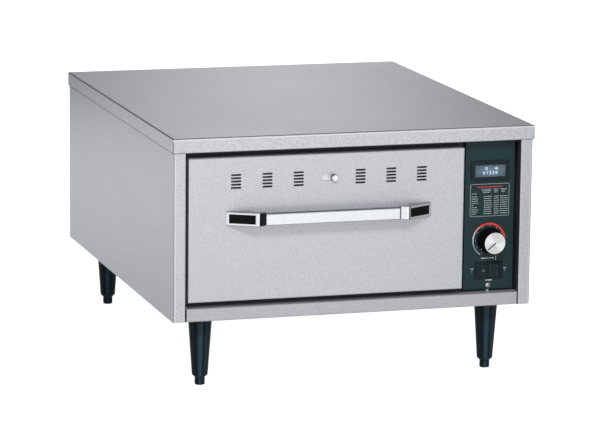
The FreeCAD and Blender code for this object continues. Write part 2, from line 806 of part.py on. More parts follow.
def build_liner():
    """Cavity liner: an open box of sheet with a flange round its mouth."""
    liner = Piece("cavity_liner")
    t = s.liner_t
    low, high = s.liner_low - t, s.liner_high + t
    bottom, top = s.liner_floor - t, s.liner_roof + t
    lip = s.liner_lip
    liner.pad("XZ", s.liner_y, [rect(low, high, bottom, top)], s.liner_d)
    liner.pad("XZ", s.liner_y, [rect(low - lip, high + lip, bottom - lip, top + lip)], t)
    inside = rect(s.liner_low, s.liner_high, s.liner_floor, s.liner_roof)
    liner.pocket("XZ", s.liner_y, [inside], s.liner_d - t)
    holes = [Circle(y, s.element_z, s.element_hole_r) for y in (s.element_front, s.element_back)]
    liner.pocket("YZ", s.liner_high, holes, t)


def build_divider():
    """Divider: the flanged wall between the hot box and the controls."""
    divider = Piece("divider_wall")
    t = s.sheet_t
    front = s.frame_y + s.frame_lip
    deep = s.back_y - t - front
    web = s.divider_x + t
    reach = web + s.side_lip
    divider.pad("XZ", front, [rect(s.divider_x, web, s.deck_z, s.roof_z)], deep - 2 * t)
    low = rect(web, reach, s.deck_z, s.deck_z + t)
    top = rect(web, reach, s.roof_z - t, s.roof_z)
    divider.pad("XZ", front, [low, top], deep - s.side_lip)
    holes = [Circle(y, s.element_z, s.element_hole_r) for y in (s.element_front, s.element_back)]
    divider.pocket("YZ", s.divider_x, holes, t)


def build_insulation():
    """Insulation: five slabs round the liner, cut out at the legs and the element."""
    wool = Piece("insulation")
    gap = s.wool_gap
    front = s.frame_y + s.frame_lip + gap
    rear = s.back_y - s.screw_l - gap
    back = s.liner_y + s.liner_d + gap
    low, high = s.liner_low - s.liner_t, s.liner_high + s.liner_t
    bottom, top = s.liner_floor - s.liner_t, s.liner_roof + s.liner_t
    deck, roof = s.deck_z + gap, s.roof_z - s.sheet_t - gap
    wool.pad("XY", deck, [rect(gap - s.wall_x, low - gap, front, rear)], roof - deck)
    wool.pad("XY", deck, [rect(high + gap, s.divider_x - gap, front, rear)], roof - deck)
    wool.pad("XY", top + gap, [rect(low, high, front, rear)], roof - top - gap)
    wool.pad("XY", deck, [rect(low, high, front, rear)], bottom - gap - deck)
    wool.pad("XY", bottom, [rect(low, high, back, rear)], top - bottom)
    nut = wool.pocket("XY", deck, [Circle(-s.leg_x, s.leg_front_y, s.nut_r + s.nut_room)],
                      s.stud_l + s.nut_room)
    wool.pattern(nut, ("Y", s.leg_pitch_y, 2))
    holes = [Circle(y, s.element_z, s.element_hole_r) for y in (s.element_front, s.element_back)]
    wool.pocket("YZ", high, holes, s.divider_x - high)


def build_leg(node, column, row):
    """Leg: a moulded cone with a threaded stud on top and a bore for its foot."""
    leg = Piece(node, at=(column * s.leg_x, s.leg_front_y + row * s.leg_pitch_y, 0))
    bore = s.foot_stem_r + s.stem_fit
    bore_top = s.foot_show + s.foot_stem_l
    top = s.deck_low
    leg.revolve(Polygon(
        (bore, s.foot_show), (s.leg_tip_r - s.leg_bevel, s.foot_show),
        (s.leg_tip_r, s.foot_show + s.leg_bevel), (s.leg_r, top), (s.stud_r, top),
        (s.stud_r, top + s.stud_l), (0, top + s.stud_l), (0, bore_top), (bore, bore_top)))


def build_leg_nuts():
    """Leg nuts: four hexagon nuts on the bottom pan."""
    nuts = Piece("leg_nuts")
    x, y, r = -s.leg_x, s.leg_front_y, s.nut_r
    half, tall = r / 2, r * 0.8660254
    hexagon = Polygon((x + r, y), (x + half, y + tall), (x - half, y + tall),
                      (x - r, y), (x - half, y - tall), (x + half, y - tall))
    nut = nuts.pad("XY", s.deck_z, [hexagon, Circle(x, y, s.stud_r + s.stud_fit)], s.nut_h)
    nuts.pattern(nut, ("X", 2 * s.leg_x, 2), ("Y", s.leg_pitch_y, 2))


def build_foot(node, column, row):
    """Levelling foot: a round pad on a stem that screws into its leg."""
    foot = Piece(node, at=(column * s.leg_x, s.leg_front_y + row * s.leg_pitch_y, 0))
    top = s.foot_show - s.run_gap
    tip = top + s.foot_stem_l - s.stem_room
    edge = s.foot_r * 0.15
    foot.revolve(Polygon(
        (0, 0), (s.foot_r - edge, 0), (s.foot_r, edge), (s.foot_r, top), (s.foot_stem_r, top),
        (s.foot_stem_r, tip), (0, tip)))


def build_rear_screws():
    """Rear screws: three through the cover's rim and four at the panel's sides."""
    screws = Piece("rear_screws", at=(0, s.back_y, 0), facing="back")
    top = s.cover_z - s.cover_lip / 2
    rim = add_screw(screws, -s.cover_screw_x, -top, s.overhang)
    screws.pattern(rim, ("X", s.cover_screw_x, 3))
    high = s.back_screw_z + s.back_screw_pitch
    side = add_screw(screws, -s.back_screw_x, -high, Dim.of(0))
    screws.pattern(side, ("X", 2 * s.back_screw_x, 2), ("Y", s.back_screw_pitch, 2))


def build_gland():
    """Cord gland: a threaded sleeve with a domed nut, and no cord in it."""
    gland = Piece("cord_gland", at=(s.gland_x, s.back_y, s.gland_z), facing="back")
    out = s.overhang + s.gland_out
    gland.revolve(Polygon(
        (s.gland_bore_r, -s.gland_in), (s.gland_thread_r, -s.gland_in), (s.gland_thread_r, 0),
        (s.gland_r, 0), (s.gland_r, out * 0.55), (s.gland_thread_r, out), (s.gland_bore_r, out)))


def build_terminal_block():
    """Terminal block on the deck behind the controls, with a row of wire ways."""
    block = Piece("terminal_block")
    x, y = s.gland_x, s.inner_back - s.block_inset
    block.pad("XY", s.deck_z, [centred(x, y, s.block_w, s.block_d)], s.block_h)
    way = s.block_w / 6
    cut = block.pocket("XZ", y - s.block_d / 2, [
        centred(x - 2 * way, s.deck_z + s.block_h / 2, way, s.block_h / 2)], s.block_d)
    block.pattern(cut, ("X", 2 * way, 3))


# ---------------------------------------------------------------------------
# Heating
# ---------------------------------------------------------------------------

def build_element():
    """Heating element: a sheathed rod in four runs joined by three bends."""
    element = Piece("heating_element")
    z, r, turn = s.element_z, s.element_r, s.element_turn_r
    left, right = s.element_left, s.element_right
    front, back = s.element_front, s.element_back
    end = s.liner_high + s.liner_t + s.element_tail
    element.pad("YZ", left, [Circle(front, z, r), Circle(back, z, r)], end - left)
    middle_runs = [Circle(front + 2 * turn, z, r), Circle(back - 2 * turn, z, r)]
    element.pad("YZ", left, middle_runs, right - left)
    element.bend(left, front + turn, Circle(-turn, z, r), -1)
    element.bend(right, front + 3 * turn, Circle(-turn, z, r), 1)
    element.bend(left, back - turn, Circle(-turn, z, r), -1)


def build_clips():
    """Element clips: eight cradles that hold the runs off the liner's floor."""
    clips = Piece("element_clips")
    pitch = 2 * s.element_turn_r
    tall = s.element_z - s.liner_floor
    foot = centred(s.element_left + s.clip_w, s.element_front, s.clip_t, s.clip_w)
    block = clips.pad("XY", s.liner_floor, [foot], tall)
    span = s.element_right - s.element_left - 2 * s.clip_w
    clips.pattern(block, ("X", span, 2), ("Y", pitch, 4))
    runs = [s.element_front + i * pitch for i in range(4)]
    cradles = [Circle(y, s.element_z, s.element_r + s.axle_fit) for y in runs]
    clips.pocket("YZ", s.liner_low, cradles, s.liner_high - s.liner_low)


def build_bulb():
    """Sensor bulb: a rod along the hot box's right wall, on two stands."""
    bulb = Piece("sensor_bulb")
    x = s.liner_high - s.sensor_stand
    y = s.liner_y + s.liner_d / 2
    z = (s.liner_floor + s.roller_z) / 2
    bulb.pad("XZ", y, [Circle(x, z, s.sensor_r)], s.sensor_l)
    stand = s.sensor_r
    foot = bulb.pad("YZ", x, [centred(y + s.sensor_l / 5, z, stand, stand)], s.sensor_stand)
    bulb.pattern(foot, ("Y", s.sensor_l * 0.6, 2))


# ---------------------------------------------------------------------------
# Slides
# ---------------------------------------------------------------------------

def channel(side, outer, opens_in):
    """Return a slide's section in (x, z): its web at outer, its flanges inwards or outwards."""
    t = s.slide_t
    half = s.roller_r + s.run_gap + t
    low, high = s.roller_z - half, s.roller_z + half
    way = 1 if opens_in else -1
    web, tip = outer, outer - way * s.slide_w
    inside = web - way * t
    corners = ((web, low), (tip, low), (tip, low + t), (inside, low + t),
               (inside, high - t), (tip, high - t), (tip, high), (web, high))
    return Polygon(*((s.bay_x + side * x, z) for x, z in corners))


def build_cabinet_rail(node, side):
    """Fixed slide: a channel on the liner's wall, open towards the drawer."""
    rail = Piece(node)
    rail.pad("XZ", s.liner_y, [channel(side, s.bay_half, True)], s.liner_d - 2 * s.liner_t)


def build_drawer_rail(node, side):
    """Moving slide: a channel on the carrier's side, open towards the liner."""
    rail = Piece(node)
    rail.pad("XZ", s.front_rear, [channel(side, s.carrier_half, False)], s.carrier_l)


def build_front_axles():
    """Front roller axles: one riveted to each fixed slide."""
    axles = Piece("front_roller_axles", at=(s.bay_x, s.front_roller_y, s.roller_z), facing="right")
    long = s.slide_w + s.slide_gap + s.run_gap - s.slide_t
    add_axle_pair(axles, s.bay_half - s.slide_t, long, -1)


def build_rear_axles():
    """Rear roller axles: one riveted to each moving slide."""
    axles = Piece("rear_roller_axles", at=(s.bay_x, s.rear_roller_y, s.roller_z), facing="right")
    long = s.slide_w + s.slide_gap + s.run_gap - s.slide_t
    add_axle_pair(axles, s.carrier_half + s.slide_t, long, 1)


def add_axle_pair(axles, web, collar, way):
    """Add two axles that point away from (1) or towards (-1) the bay's middle."""
    gap = s.run_gap
    journal = collar + gap + s.roller_w
    head = journal + gap
    steps = ((s.collar_r, 0, collar), (s.axle_r, collar, head), (s.collar_r, head, head + s.axle_head_t))
    for side in (-1, 1):
        for radius, start, stop in steps:
            sign = side * way
            level = side * web + sign * start
            axles.pad("XY", level, [Circle(0, 0, radius)], stop - start, sign)


def build_roller(node, side, front):
    """Roller: a wheel with a hub bore, a little clear of its axle and channel."""
    reach = s.slide_w + s.slide_gap + 2 * s.run_gap - s.slide_t
    if front:
        inner = s.bay_half - s.slide_t - reach - s.roller_w
        y = s.front_roller_y
    else:
        inner = s.carrier_half + s.slide_t + reach
        y = s.rear_roller_y
    x = inner if side > 0 else -inner - s.roller_w
    wheel = Piece(node, at=(s.bay_x + x, y, s.roller_z), facing="right")
    bore = s.axle_r + s.axle_fit
    edge = s.roller_w * 0.12
    r = s.roller_r
    wheel.revolve(Polygon((bore, 0), (r - edge, 0), (r, edge), (r, s.roller_w - edge),
                          (r - edge, s.roller_w), (bore, s.roller_w)))


# ---------------------------------------------------------------------------
# Controls
# ---------------------------------------------------------------------------

def build_panel():
    """Control panel: a folded plate between the drawer and the right post."""
    panel = Piece("control_panel")
    t = s.panel_t
    deep = s.frame_y - s.panel_y
    panel.pad("XZ", s.panel_y, [rect(s.panel_low, s.panel_high, s.panel_foot, s.roof_z)], deep)
    panel.pocket("XZ", s.frame_y, [rect(s.panel_low + t, s.panel_high - t, s.panel_foot, s.roof_z - t)],
                 deep - t, -1)
    windows = [
        centred(s.panel_mid, s.display_z, s.screen_w, s.screen_h),
        centred(s.control_x, s.switch_z, s.switch_body_w + s.switch_play, s.switch_body_h + s.switch_play),
        Circle(s.control_x, s.dial_z, s.bush_r + s.bush_fit),
        Circle(s.panel_mid, s.panel_screw_z, s.hole_r)]
    panel.pocket("XZ", s.panel_y, windows, t)


def build_display():
    """Display: a black bezel, a tinted window and the module behind the plate."""
    bezel = Piece("display_bezel")
    bezel.pad("XZ", s.panel_y, [centred(s.panel_mid, s.display_z, s.bezel_w, s.bezel_h)], s.bezel_t, -1)
    bezel.soften(s.bend_r, lambda e: along(e, "y"))
    bezel.pocket("XZ", s.panel_y, [centred(s.panel_mid, s.display_z, s.screen_w, s.screen_h)], s.bezel_t, -1)
    window = Piece("display_window")
    window.pad("XZ", s.panel_y, [centred(s.panel_mid, s.display_z, s.screen_w, s.screen_h)], s.screen_t, -1)
    module = Piece("display_module")
    module.pad("XZ", s.panel_rear, [centred(s.panel_mid, s.display_z, s.bezel_w, s.bezel_h)], s.module_t)


def build_thermostat():
    """Thermostat: a boxed control with its threaded bush through the panel."""
    stat = Piece("thermostat_body")
    stat.pad("XZ", s.panel_rear, [centred(s.control_x, s.dial_z, s.stat_w, s.stat_h)], s.stat_t)
    stat.pad("XZ", s.panel_rear, [Circle(s.control_x, s.dial_z, s.bush_r)], s.bush_l, -1)
    stat.pocket("XZ", s.panel_rear - s.bush_l, [Circle(s.control_x, s.dial_z, s.shaft_r + s.shaft_fit)],
                s.shaft_l)


def build_shaft():
    """Thermostat shaft: turns in the bush and carries the knob."""
    shaft = Piece("thermostat_shaft", at=(s.control_x, s.panel_rear, s.dial_z), facing="front")
    tail = s.bush_l - s.shaft_l + s.shaft_room
    reach = s.panel_t + s.knob_gap + s.knob_l / 2
    shaft.revolve(Polygon((0, tail), (s.shaft_r, tail), (s.shaft_r, reach), (0, reach)))


def build_knob():
    """Knob: a black skirted body, and a bright cap with a pointer groove."""
    knob = Piece("knob_body", at=(s.control_x, s.panel_y, s.dial_z), facing="front")
    base = s.knob_gap
    top = base + s.knob_l
    recess_r = s.bush_r + s.knob_gap
    recess = s.bush_l - s.panel_t + s.knob_gap
    bore = s.shaft_r + s.shaft_fit
    seat = top - s.cap_sink
    cap_seat_r = s.cap_r + s.shaft_fit
    skirt = base + s.knob_l / 6
    knob.revolve(Polygon(
        (recess_r, base), (s.knob_r, base), (s.knob_r, skirt),
        (s.knob_top_r + s.knob_step, skirt + s.knob_bevel),
        (s.knob_top_r, top), (cap_seat_r, top), (cap_seat_r, seat), (0, seat),
        (0, base + s.knob_l / 2), (bore, base + s.knob_l / 2), (bore, recess), (recess_r, recess)))
    cap = Piece("knob_cap", at=(s.control_x, s.panel_y, s.dial_z), facing="front")
    face = seat + s.cap_t
    rim = s.cap_t * 0.4
    cap.revolve(Polygon((0, seat), (s.cap_r, seat), (s.cap_r, face - rim), (s.cap_r - rim, face),
                        (0, face)))
    cap.pocket("XY", face - s.pointer_deep, [pointer_outline()], s.pointer_deep)


def pointer_outline():
    """Return the knob's pointer line, from its middle towards the dial's lowest mark."""
    angle = math.radians(POINTER_DEGREES)
    along_x, along_y = math.cos(angle), math.sin(angle)
    half, tip = s.pointer_w / 2, s.pointer_l
    corners = ((0, -1), (1, -1), (1, 1), (0, 1))
    return Polygon(*((tip * (reach * along_x) - half * (side * along_y),
                      tip * (reach * along_y) + half * (side * along_x)) for reach, side in corners))


def build_switch():
    """Power switch: a framed housing with the well that its rocker tips in."""
    housing = Piece("switch_housing")
    lip = s.panel_y - s.switch_lip
    housing.pad("XZ", lip, [centred(s.control_x, s.switch_z, s.switch_w, s.switch_h)], s.switch_lip)
    body = centred(s.control_x, s.switch_z, s.switch_body_w, s.switch_body_h)
    housing.pad("XZ", s.panel_y, [body], s.switch_d)
    housing.soften(s.bend_r / 2, lambda e: near(middle(e).y, lip))
    well = centred(s.control_x, s.switch_z, s.well_w, s.well_h)
    housing.pocket("XZ", lip, [well], 2 * s.rocker_pivot)
    low = s.switch_z - s.well_h / 2 - s.pivot_l
    housing.pocket("XY", low, [Circle(s.control_x, s.pivot_y, s.pivot_r + s.pivot_fit)],
                   s.well_h + 2 * s.pivot_l)


def build_rocker():
    """Rocker: a shallow V on two pivot pins, tipped to its off side."""
    rocker = Piece("power_rocker", at=(s.control_x, s.pivot_y, s.switch_z))
    tilt = Rotation(Vector(0, 0, -1), s.rocker_tilt.value)
    rocker.body.Placement = Placement(rocker.body.Placement.Base, tilt)
    bind(rocker.body, "Placement.Rotation.Angle", s.rocker_tilt)
    half, tall = s.rocker_w / 2, s.rocker_h / 2
    heel = s.pivot_r + s.rocker_wall
    rocker.pad("XY", -tall, [Polygon(
        (-half, -s.rocker_tip), (0, -s.rocker_dip), (half, -s.rocker_tip),
        (half - heel, heel), (heel - half, heel))], s.rocker_h)
    reach = tall + s.pivot_l
    rocker.pad("XY", -reach, [Circle(0, 0, s.pivot_r)], 2 * reach)


def build_panel_screw():
    """Panel screw: holds the plate's foot to the rail's tab."""
    screw = Piece("panel_screw", at=(s.panel_mid, s.panel_y, s.panel_screw_z), facing="front")
    add_screw(screw, Dim.of(0), Dim.of(0), Dim.of(0))


# ---------------------------------------------------------------------------
# Drawer
# ---------------------------------------------------------------------------

def vent_groups(piece, level, deep):
    """Cut six groups of five slots, three on each side of the slider."""
    for first in (-3, 1):
        x = s.trim_x + first * s.vent_pitch
        outline = centred(x, s.vent_z - 2 * s.vent_step, s.vent_w, s.vent_h)
        slot = piece.pocket("XZ", level, [outline], deep)
        piece.pattern(slot, ("X", s.vent_pitch, 3), ("Z", s.vent_step, 5))


def build_drawer_front():
    """Drawer front: a shallow folded pan with vent slots and the slider's slot."""
    front = Piece("drawer_front")
    t = s.sheet_t
    front.pad("XZ", s.face_y, [rect(s.front_low, s.front_high, s.front_bottom, s.front_top)], s.front_t)
    front.soften(s.bend_r, lambda e: near(middle(e).y, s.face_y))
    hollow = rect(s.front_low + t, s.front_high - t, s.front_bottom + t, s.front_top - t)
    front.pocket("XZ", s.front_rear, [hollow], s.front_t - t, -1)
    vent_groups(front, s.face_y, t)
    slider = Slot(s.trim_x, s.vent_z, s.slider_w, s.slider_h)
    front.pocket("XZ", s.face_y, [slider], t)
    hole = front.pocket("XZ", s.face_y, [Circle(s.trim_x - s.handle_screw_x, s.handle_z, s.hole_r)], t)
    front.pattern(hole, ("X", 2 * s.handle_screw_x, 2))


def build_inner_panel():
    """Inner panel: closes the back of the drawer front, with the same vents."""
    inner = Piece("drawer_inner_panel")
    t = s.sheet_t
    inner.pad("XZ", s.front_rear, [
        rect(s.front_low + t, s.front_high - t, s.front_bottom + t, s.front_top - t)], t, -1)
    vent_groups(inner, s.front_rear - t, t)


def build_front_wool():
    """Drawer insulation: a slab in the lower half of the drawer front."""
    wool = Piece("drawer_insulation")
    gap = s.wool_gap + s.sheet_t
    top = s.handle_z - s.handle_h / 2
    wool.pad("XZ", s.face_y + gap, [rect(s.front_low + gap, s.front_high - gap, s.front_bottom + gap, top)],
             s.front_t - 2 * gap)


def build_shutter():
    """Vent shutter: a perforated strip behind the drawer front's skin."""
    shutter = Piece("vent_shutter")
    half = 3 * s.vent_pitch + s.vent_w / 2 + s.vent_step
    tall = s.shutter_h / 2
    strip = rect(s.trim_x - half, s.trim_x + half + s.shutter_throw, s.vent_z - tall, s.vent_z + tall)
    shutter.pad("XZ", s.shutter_y, [strip], s.shutter_t)
    vent_groups(shutter, s.shutter_y, s.shutter_t)


def build_shutter_guides():
    """Shutter guides: two Z-shaped strips that the shutter slides in."""
    guides = Piece("shutter_guides")
    skin = s.face_y + s.sheet_t
    gap = s.shutter_gap
    half = 3 * s.vent_pitch + s.vent_w / 2
    edge = s.shutter_h / 2 + gap
    rear = s.shutter_y + s.shutter_t + gap
    for side in (-1, 1):
        z0, z1, z2 = (s.vent_z + side * d for d in (edge - s.guide_h / 2, edge, edge + s.guide_h))
        strip = Polygon((skin, z1), (skin, z2), (rear + s.shutter_t, z2), (rear + s.shutter_t, z0),
                        (rear, z0), (rear, z1))
        guides.pad("YZ", s.trim_x - half, [strip], 2 * half)


def build_vent_knob():
    """Vent knob: a stud on the shutter that shows through the slider's slot."""
    x = s.trim_x + s.vent_knob_shift
    knob = Piece("vent_knob", at=(x, s.shutter_y, s.vent_z), facing="front")
    neck = s.sheet_t + 2 * s.shutter_gap
    top = s.sheet_t + s.shutter_gap + s.vent_knob_out
    edge = s.vent_knob_r / 6
    knob.revolve(Polygon(
        (0, 0), (s.vent_stem_r, 0), (s.vent_stem_r, neck), (s.vent_knob_r, neck),
        (s.vent_knob_r, top - edge), (s.vent_knob_r - edge, top), (0, top)))


def build_bracket(node, side):
    """Handle bracket: a cast end with a rounded knee, where the bar runs out of its neck."""
    bracket = Piece(node)
    end, knee, lip = s.handle_l / 2, s.handle_knee, s.bar_half
    out, toe = s.face_y - s.handle_out, s.face_y - s.bar_wall
    inside, peak = out + s.bar_t, out - s.nose_rise
    front = ((end, toe), (knee, peak), (lip, out + s.nose_drop))
    body = ((end, s.face_y), *front, (lip, inside), (knee + s.bar_wall, inside),
            (knee + s.bar_t, s.face_y))
    outline = Polygon(*((s.trim_x + side * x, y) for x, y in body))
    bracket.pad("XY", s.handle_z - s.handle_h / 2, [outline], s.handle_h)
    bracket.soften(s.nose_r, lambda e: along(e, "z") and near(middle(e).y, peak))
    spots = [Vector((s.trim_x + side * x).value, y.value, 0) for x, y in front]
    lines = [Part.LineSegment(*pair).toShape() for pair in zip(spots, spots[1:])]

    def on_front(edge):
        """Say whether an edge lies along the bracket's front, at its top or its bottom."""
        centre = Vector(middle(edge).x, middle(edge).y, 0)
        off = min(line.distToShape(Part.Vertex(centre))[0] for line in lines)
        return off < s.nose_rise.value and not along(edge, "z") and not along(edge, "y")

    bracket.soften(s.bar_wall / 2, on_front)
    bracket.pocket("XY", s.handle_z - s.inlay_h / 2, [inlay_outline(side)], s.inlay_h)
    screw = Circle(s.trim_x + side * s.handle_screw_x, s.handle_z, s.hole_r)
    bracket.pocket("XZ", s.face_y, [screw], s.screw_l, -1)
    pin = Circle(s.trim_x + side * (knee - s.handle_neck / 3), inside - s.bar_wall, s.pin_r)
    bracket.pocket("XY", s.handle_z + s.handle_h / 2, [pin], 2 * s.pin_r, -1)


def inlay_outline(side):
    """Return the section of a bracket's inlay: a strip let into the slope."""
    end = s.handle_l / 2
    run = s.handle_slope
    toe = s.face_y - s.bar_wall
    rise = s.handle_out + s.nose_rise - s.bar_wall
    edge = s.inlay_edge / run
    low_x, low_y = end - run * edge, toe - rise * edge
    top_x, top_y = end - run * (1 - edge), toe - rise * (1 - edge)
    deep = s.inlay_t
    corners = ((low_x, low_y), (top_x, top_y), (top_x, top_y + deep), (low_x, low_y + deep))
    return Polygon(*((s.trim_x + side * x, y) for x, y in corners))


def build_inlays():
    """Handle inlays: a bare black plate let into the slope of each bracket."""
    inlays = Piece("handle_inlays")
    for side in (-1, 1):
        inlays.pad("XY", s.handle_z - s.inlay_h / 2, [inlay_outline(side)], s.inlay_h)


def build_bar():
    """Handle bar: a channel section with closed ends, open towards the drawer."""
    bar = Piece("handle_bar")
    half = s.bar_half
    tall = s.bar_h / 2
    out = s.face_y - s.handle_out
    section = rect(out, out + s.bar_t, s.handle_z - tall, s.handle_z + tall)
    bar.pad("YZ", s.trim_x - half, [section], 2 * half)
    bar.soften(s.bar_wall * 0.8, lambda e: near(middle(e).y, out))
    inner = half - s.bar_wall
    wall = tall - s.bar_wall
    bar.pocket("XZ", out + s.bar_t, [
        rect(s.trim_x - inner, s.trim_x + inner, s.handle_z - wall, s.handle_z + wall)],
        s.bar_t - s.bar_wall, -1)


def build_handle_screws():
    """Handle screws: one into each bracket from inside the drawer front."""
    screws = Piece("handle_screws", at=(s.trim_x, s.face_y + s.sheet_t, s.handle_z), facing="back")
    one = add_screw(screws, -s.handle_screw_x, Dim.of(0), Dim.of(0))
    screws.pattern(one, ("X", 2 * s.handle_screw_x, 2))


def build_carrier():
    """Pan carrier: a welded tray ring with a shelf that the pan's rim sits on."""
    carrier = Piece("pan_carrier")
    t = s.carrier_t
    low, high = s.bay_x - s.carrier_half, s.bay_x + s.carrier_half
    rear = s.front_rear + s.carrier_l
    bottom = s.roller_z - s.roller_r - s.slide_t
    ring = [rect(low, high, s.front_rear, rear), rect(low + t, high - t, s.front_rear + t, rear - t)]
    carrier.pad("XY", bottom, ring, s.carrier_top - bottom)
    well = s.pan_w / 2 - s.pan_rim + s.pan_play
    shelf = [rect(low, high, s.front_rear, rear),
             rect(s.bay_x - well, s.bay_x + well, s.pan_front + s.pan_rim - s.pan_play,
                  s.pan_front + s.pan_l - s.pan_rim + s.pan_play)]
    carrier.pad("XY", s.carrier_top, shelf, t, -1)


def build_pan():
    """Food pan: a deep-drawn pan with a flat rim turned down at its edge."""
    pan = Piece("food_pan")
    rim_z = s.carrier_top + s.pan_hem
    low, high = s.bay_x - s.pan_w / 2, s.bay_x + s.pan_w / 2
    near_y, far_y = s.pan_front, s.pan_front + s.pan_l
    rim, t = s.pan_rim, s.pan_t
    well = RoundRect(low + rim, high - rim, near_y + rim, far_y - rim, s.pan_corner_r)
    deep = pan.pad("XY", rim_z, [well], s.pan_d, -1)
    bind(deep, "TaperAngle", -s.pan_taper)
    edge = rect(low, high, near_y, far_y)
    pan.pad("XY", rim_z, [edge], t)
    pan.pad("XY", rim_z + t, [edge, rect(low + t, high - t, near_y + t, far_y - t)], s.pan_hem + t, -1)
    rim = rim + t
    inside = RoundRect(low + rim, high - rim, near_y + rim, far_y - rim, s.pan_corner_r - t)
    hollow = pan.pocket("XY", rim_z + t, [inside], s.pan_d, -1)
    bind(hollow, "TaperAngle", -s.pan_taper)
    pan.soften(s.pan_floor_r - t, lambda e: near(e.BoundBox.ZMax, rim_z + t - s.pan_d))
    pan.soften(s.pan_floor_r, lambda e: near(e.BoundBox.ZMax, rim_z - s.pan_d))


def build_bumpers():
    """Drawer bumpers: four rubber buttons on the face frame."""
    bumpers = Piece("drawer_bumpers", at=(0, s.frame_y, 0), facing="front")
    edge = s.lap_side / 2
    x, z = s.front_low + edge, s.front_bottom + edge
    r = edge - s.bumper_edge
    tall = s.frame_y - s.front_rear - s.run_gap
    button = bumpers.revolve(Polygon((0, 0), (r, 0), (r, tall * 0.6), (r * 0.8, tall), (0, tall)),
                             x=x, y=z)
    bumpers.pattern(button, ("X", s.front_high - s.front_low - 2 * edge, 2),
                    ("Y", s.front_top - s.front_bottom - 2 * edge, 2))


# ---------------------------------------------------------------------------
# Build, check and write
# ---------------------------------------------------------------------------

SIDES = (("left", -1), ("right", 1))
ENDS = (("front", 0), ("rear", 1))


def build_all():
    """Build every sub-part in the order in which the drawer is put together."""
    build_cover()
    build_back()
    build_bottom()
    build_rail()
    build_face_frame()
    build_liner()
    build_divider()
    build_insulation()
    build_bumpers()
    build_leg_nuts()
    build_rear_screws()
    build_gland()
    build_terminal_block()
    build_element()
    build_clips()
    build_bulb()
    build_front_axles()
    build_rear_axles()
    build_panel()
    build_display()
    build_thermostat()
    build_shaft()
    build_knob()
    build_switch()
    build_rocker()
    build_panel_screw()
    build_drawer_front()
    build_inner_panel()
    build_front_wool()
    build_shutter()
    build_shutter_guides()
    build_vent_knob()
    build_inlays()
    build_bar()
    build_handle_screws()
    build_carrier()
    build_pan()
    for word, side in SIDES:
        build_side(word + "_side_panel", side)
        build_cabinet_rail(word + "_cabinet_slide", side)
        build_drawer_rail(word + "_drawer_slide", side)
        build_bracket(word + "_handle_bracket", side)
        for end, row in ENDS:
            build_leg("%s_%s_leg" % (end, word), side, row)
            build_foot("%s_%s_foot" % (end, word), side, row)
            build_roller("%s_%s_roller" % (end, word), side, row == 0)


def check_all():
    """Stop if any object failed, any cut removed nothing, or any piece isn't sound."""
    for item in doc.Objects:
        if "Invalid" in item.State or "Error" in item.State:
            raise RuntimeError("%s (%s) failed" % (item.Label, item.Name))
        if item.TypeId == "PartDesign::Pocket":
            if item.Shape.Volume > item.BaseFeature.Shape.Volume - 0.01:
                raise RuntimeError("%s cuts nothing" % item.Name)
    for node in nodes:
        if node.Shape.isNull() or not node.Shape.isValid() or not node.Shape.Solids:
            raise RuntimeError("%s isn't a sound solid" % node.Label)


build_all()
doc.recompute()
check_all()
os.makedirs("parts", exist_ok=True)
for node in nodes:
    node.Shape.exportStep("parts/%s.step" % node.Label)
print("%d nodes written" % len(nodes))
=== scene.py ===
"""Countertop warming drawer: the looks of its pieces, and the studio round it."""

import logging
import math
from dataclasses import dataclass, field, replace
from enum import Enum

import bmesh
import bpy
import numpy as np
from mathutils import Matrix, Vector

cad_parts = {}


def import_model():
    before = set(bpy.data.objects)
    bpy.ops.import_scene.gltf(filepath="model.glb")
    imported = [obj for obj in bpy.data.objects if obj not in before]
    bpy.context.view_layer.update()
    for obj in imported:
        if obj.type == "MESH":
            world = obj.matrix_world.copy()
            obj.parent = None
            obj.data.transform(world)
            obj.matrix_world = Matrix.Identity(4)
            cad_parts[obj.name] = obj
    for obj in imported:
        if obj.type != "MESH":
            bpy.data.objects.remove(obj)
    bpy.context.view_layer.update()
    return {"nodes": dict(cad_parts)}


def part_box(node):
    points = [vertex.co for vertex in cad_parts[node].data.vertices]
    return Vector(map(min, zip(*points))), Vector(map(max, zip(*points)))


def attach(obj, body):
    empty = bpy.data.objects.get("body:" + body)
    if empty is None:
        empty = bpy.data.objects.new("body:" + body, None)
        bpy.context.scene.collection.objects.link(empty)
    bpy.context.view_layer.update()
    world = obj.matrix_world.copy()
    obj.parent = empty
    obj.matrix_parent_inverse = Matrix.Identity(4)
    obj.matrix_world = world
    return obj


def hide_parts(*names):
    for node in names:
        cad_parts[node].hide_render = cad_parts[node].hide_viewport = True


LOG = logging.getLogger("warming_drawer")
MM = 0.001
Colour = tuple[float, float, float, float]
# How far a painted shade or highlight reaches, in millimetres, and its factor.
Band = tuple[float, float]


# ---------------------------------------------------------------------------
# Colours and shader nodes
# ---------------------------------------------------------------------------

def shade(red: int, green: int, blue: int) -> Colour:
    """Return a colour given in 0 to 255 as the linear values that a shader takes.

    Args:
        red: red as it looks on a screen.
        green: green as it looks on a screen.
        blue: blue as it looks on a screen.

    Returns:
        Linear red, green and blue, and an alpha of one.
    """
    def straight(value: float) -> float:
        """Undo the screen's curve for one channel."""
        value /= 255
        return value / 12.92 if value <= 0.04045 else ((value + 0.055) / 1.055) ** 2.4

    return (straight(red), straight(green), straight(blue), 1.0)


def times(colour: Colour, factor: float) -> Colour:
    """Return a colour made lighter or darker by a factor."""
    return (colour[0] * factor, colour[1] * factor, colour[2] * factor, 1.0)


class Grain(Enum):
    """Which way a sheet was brushed: the axis that its scratches follow."""

    ALONG_X = 0
    ALONG_Y = 1


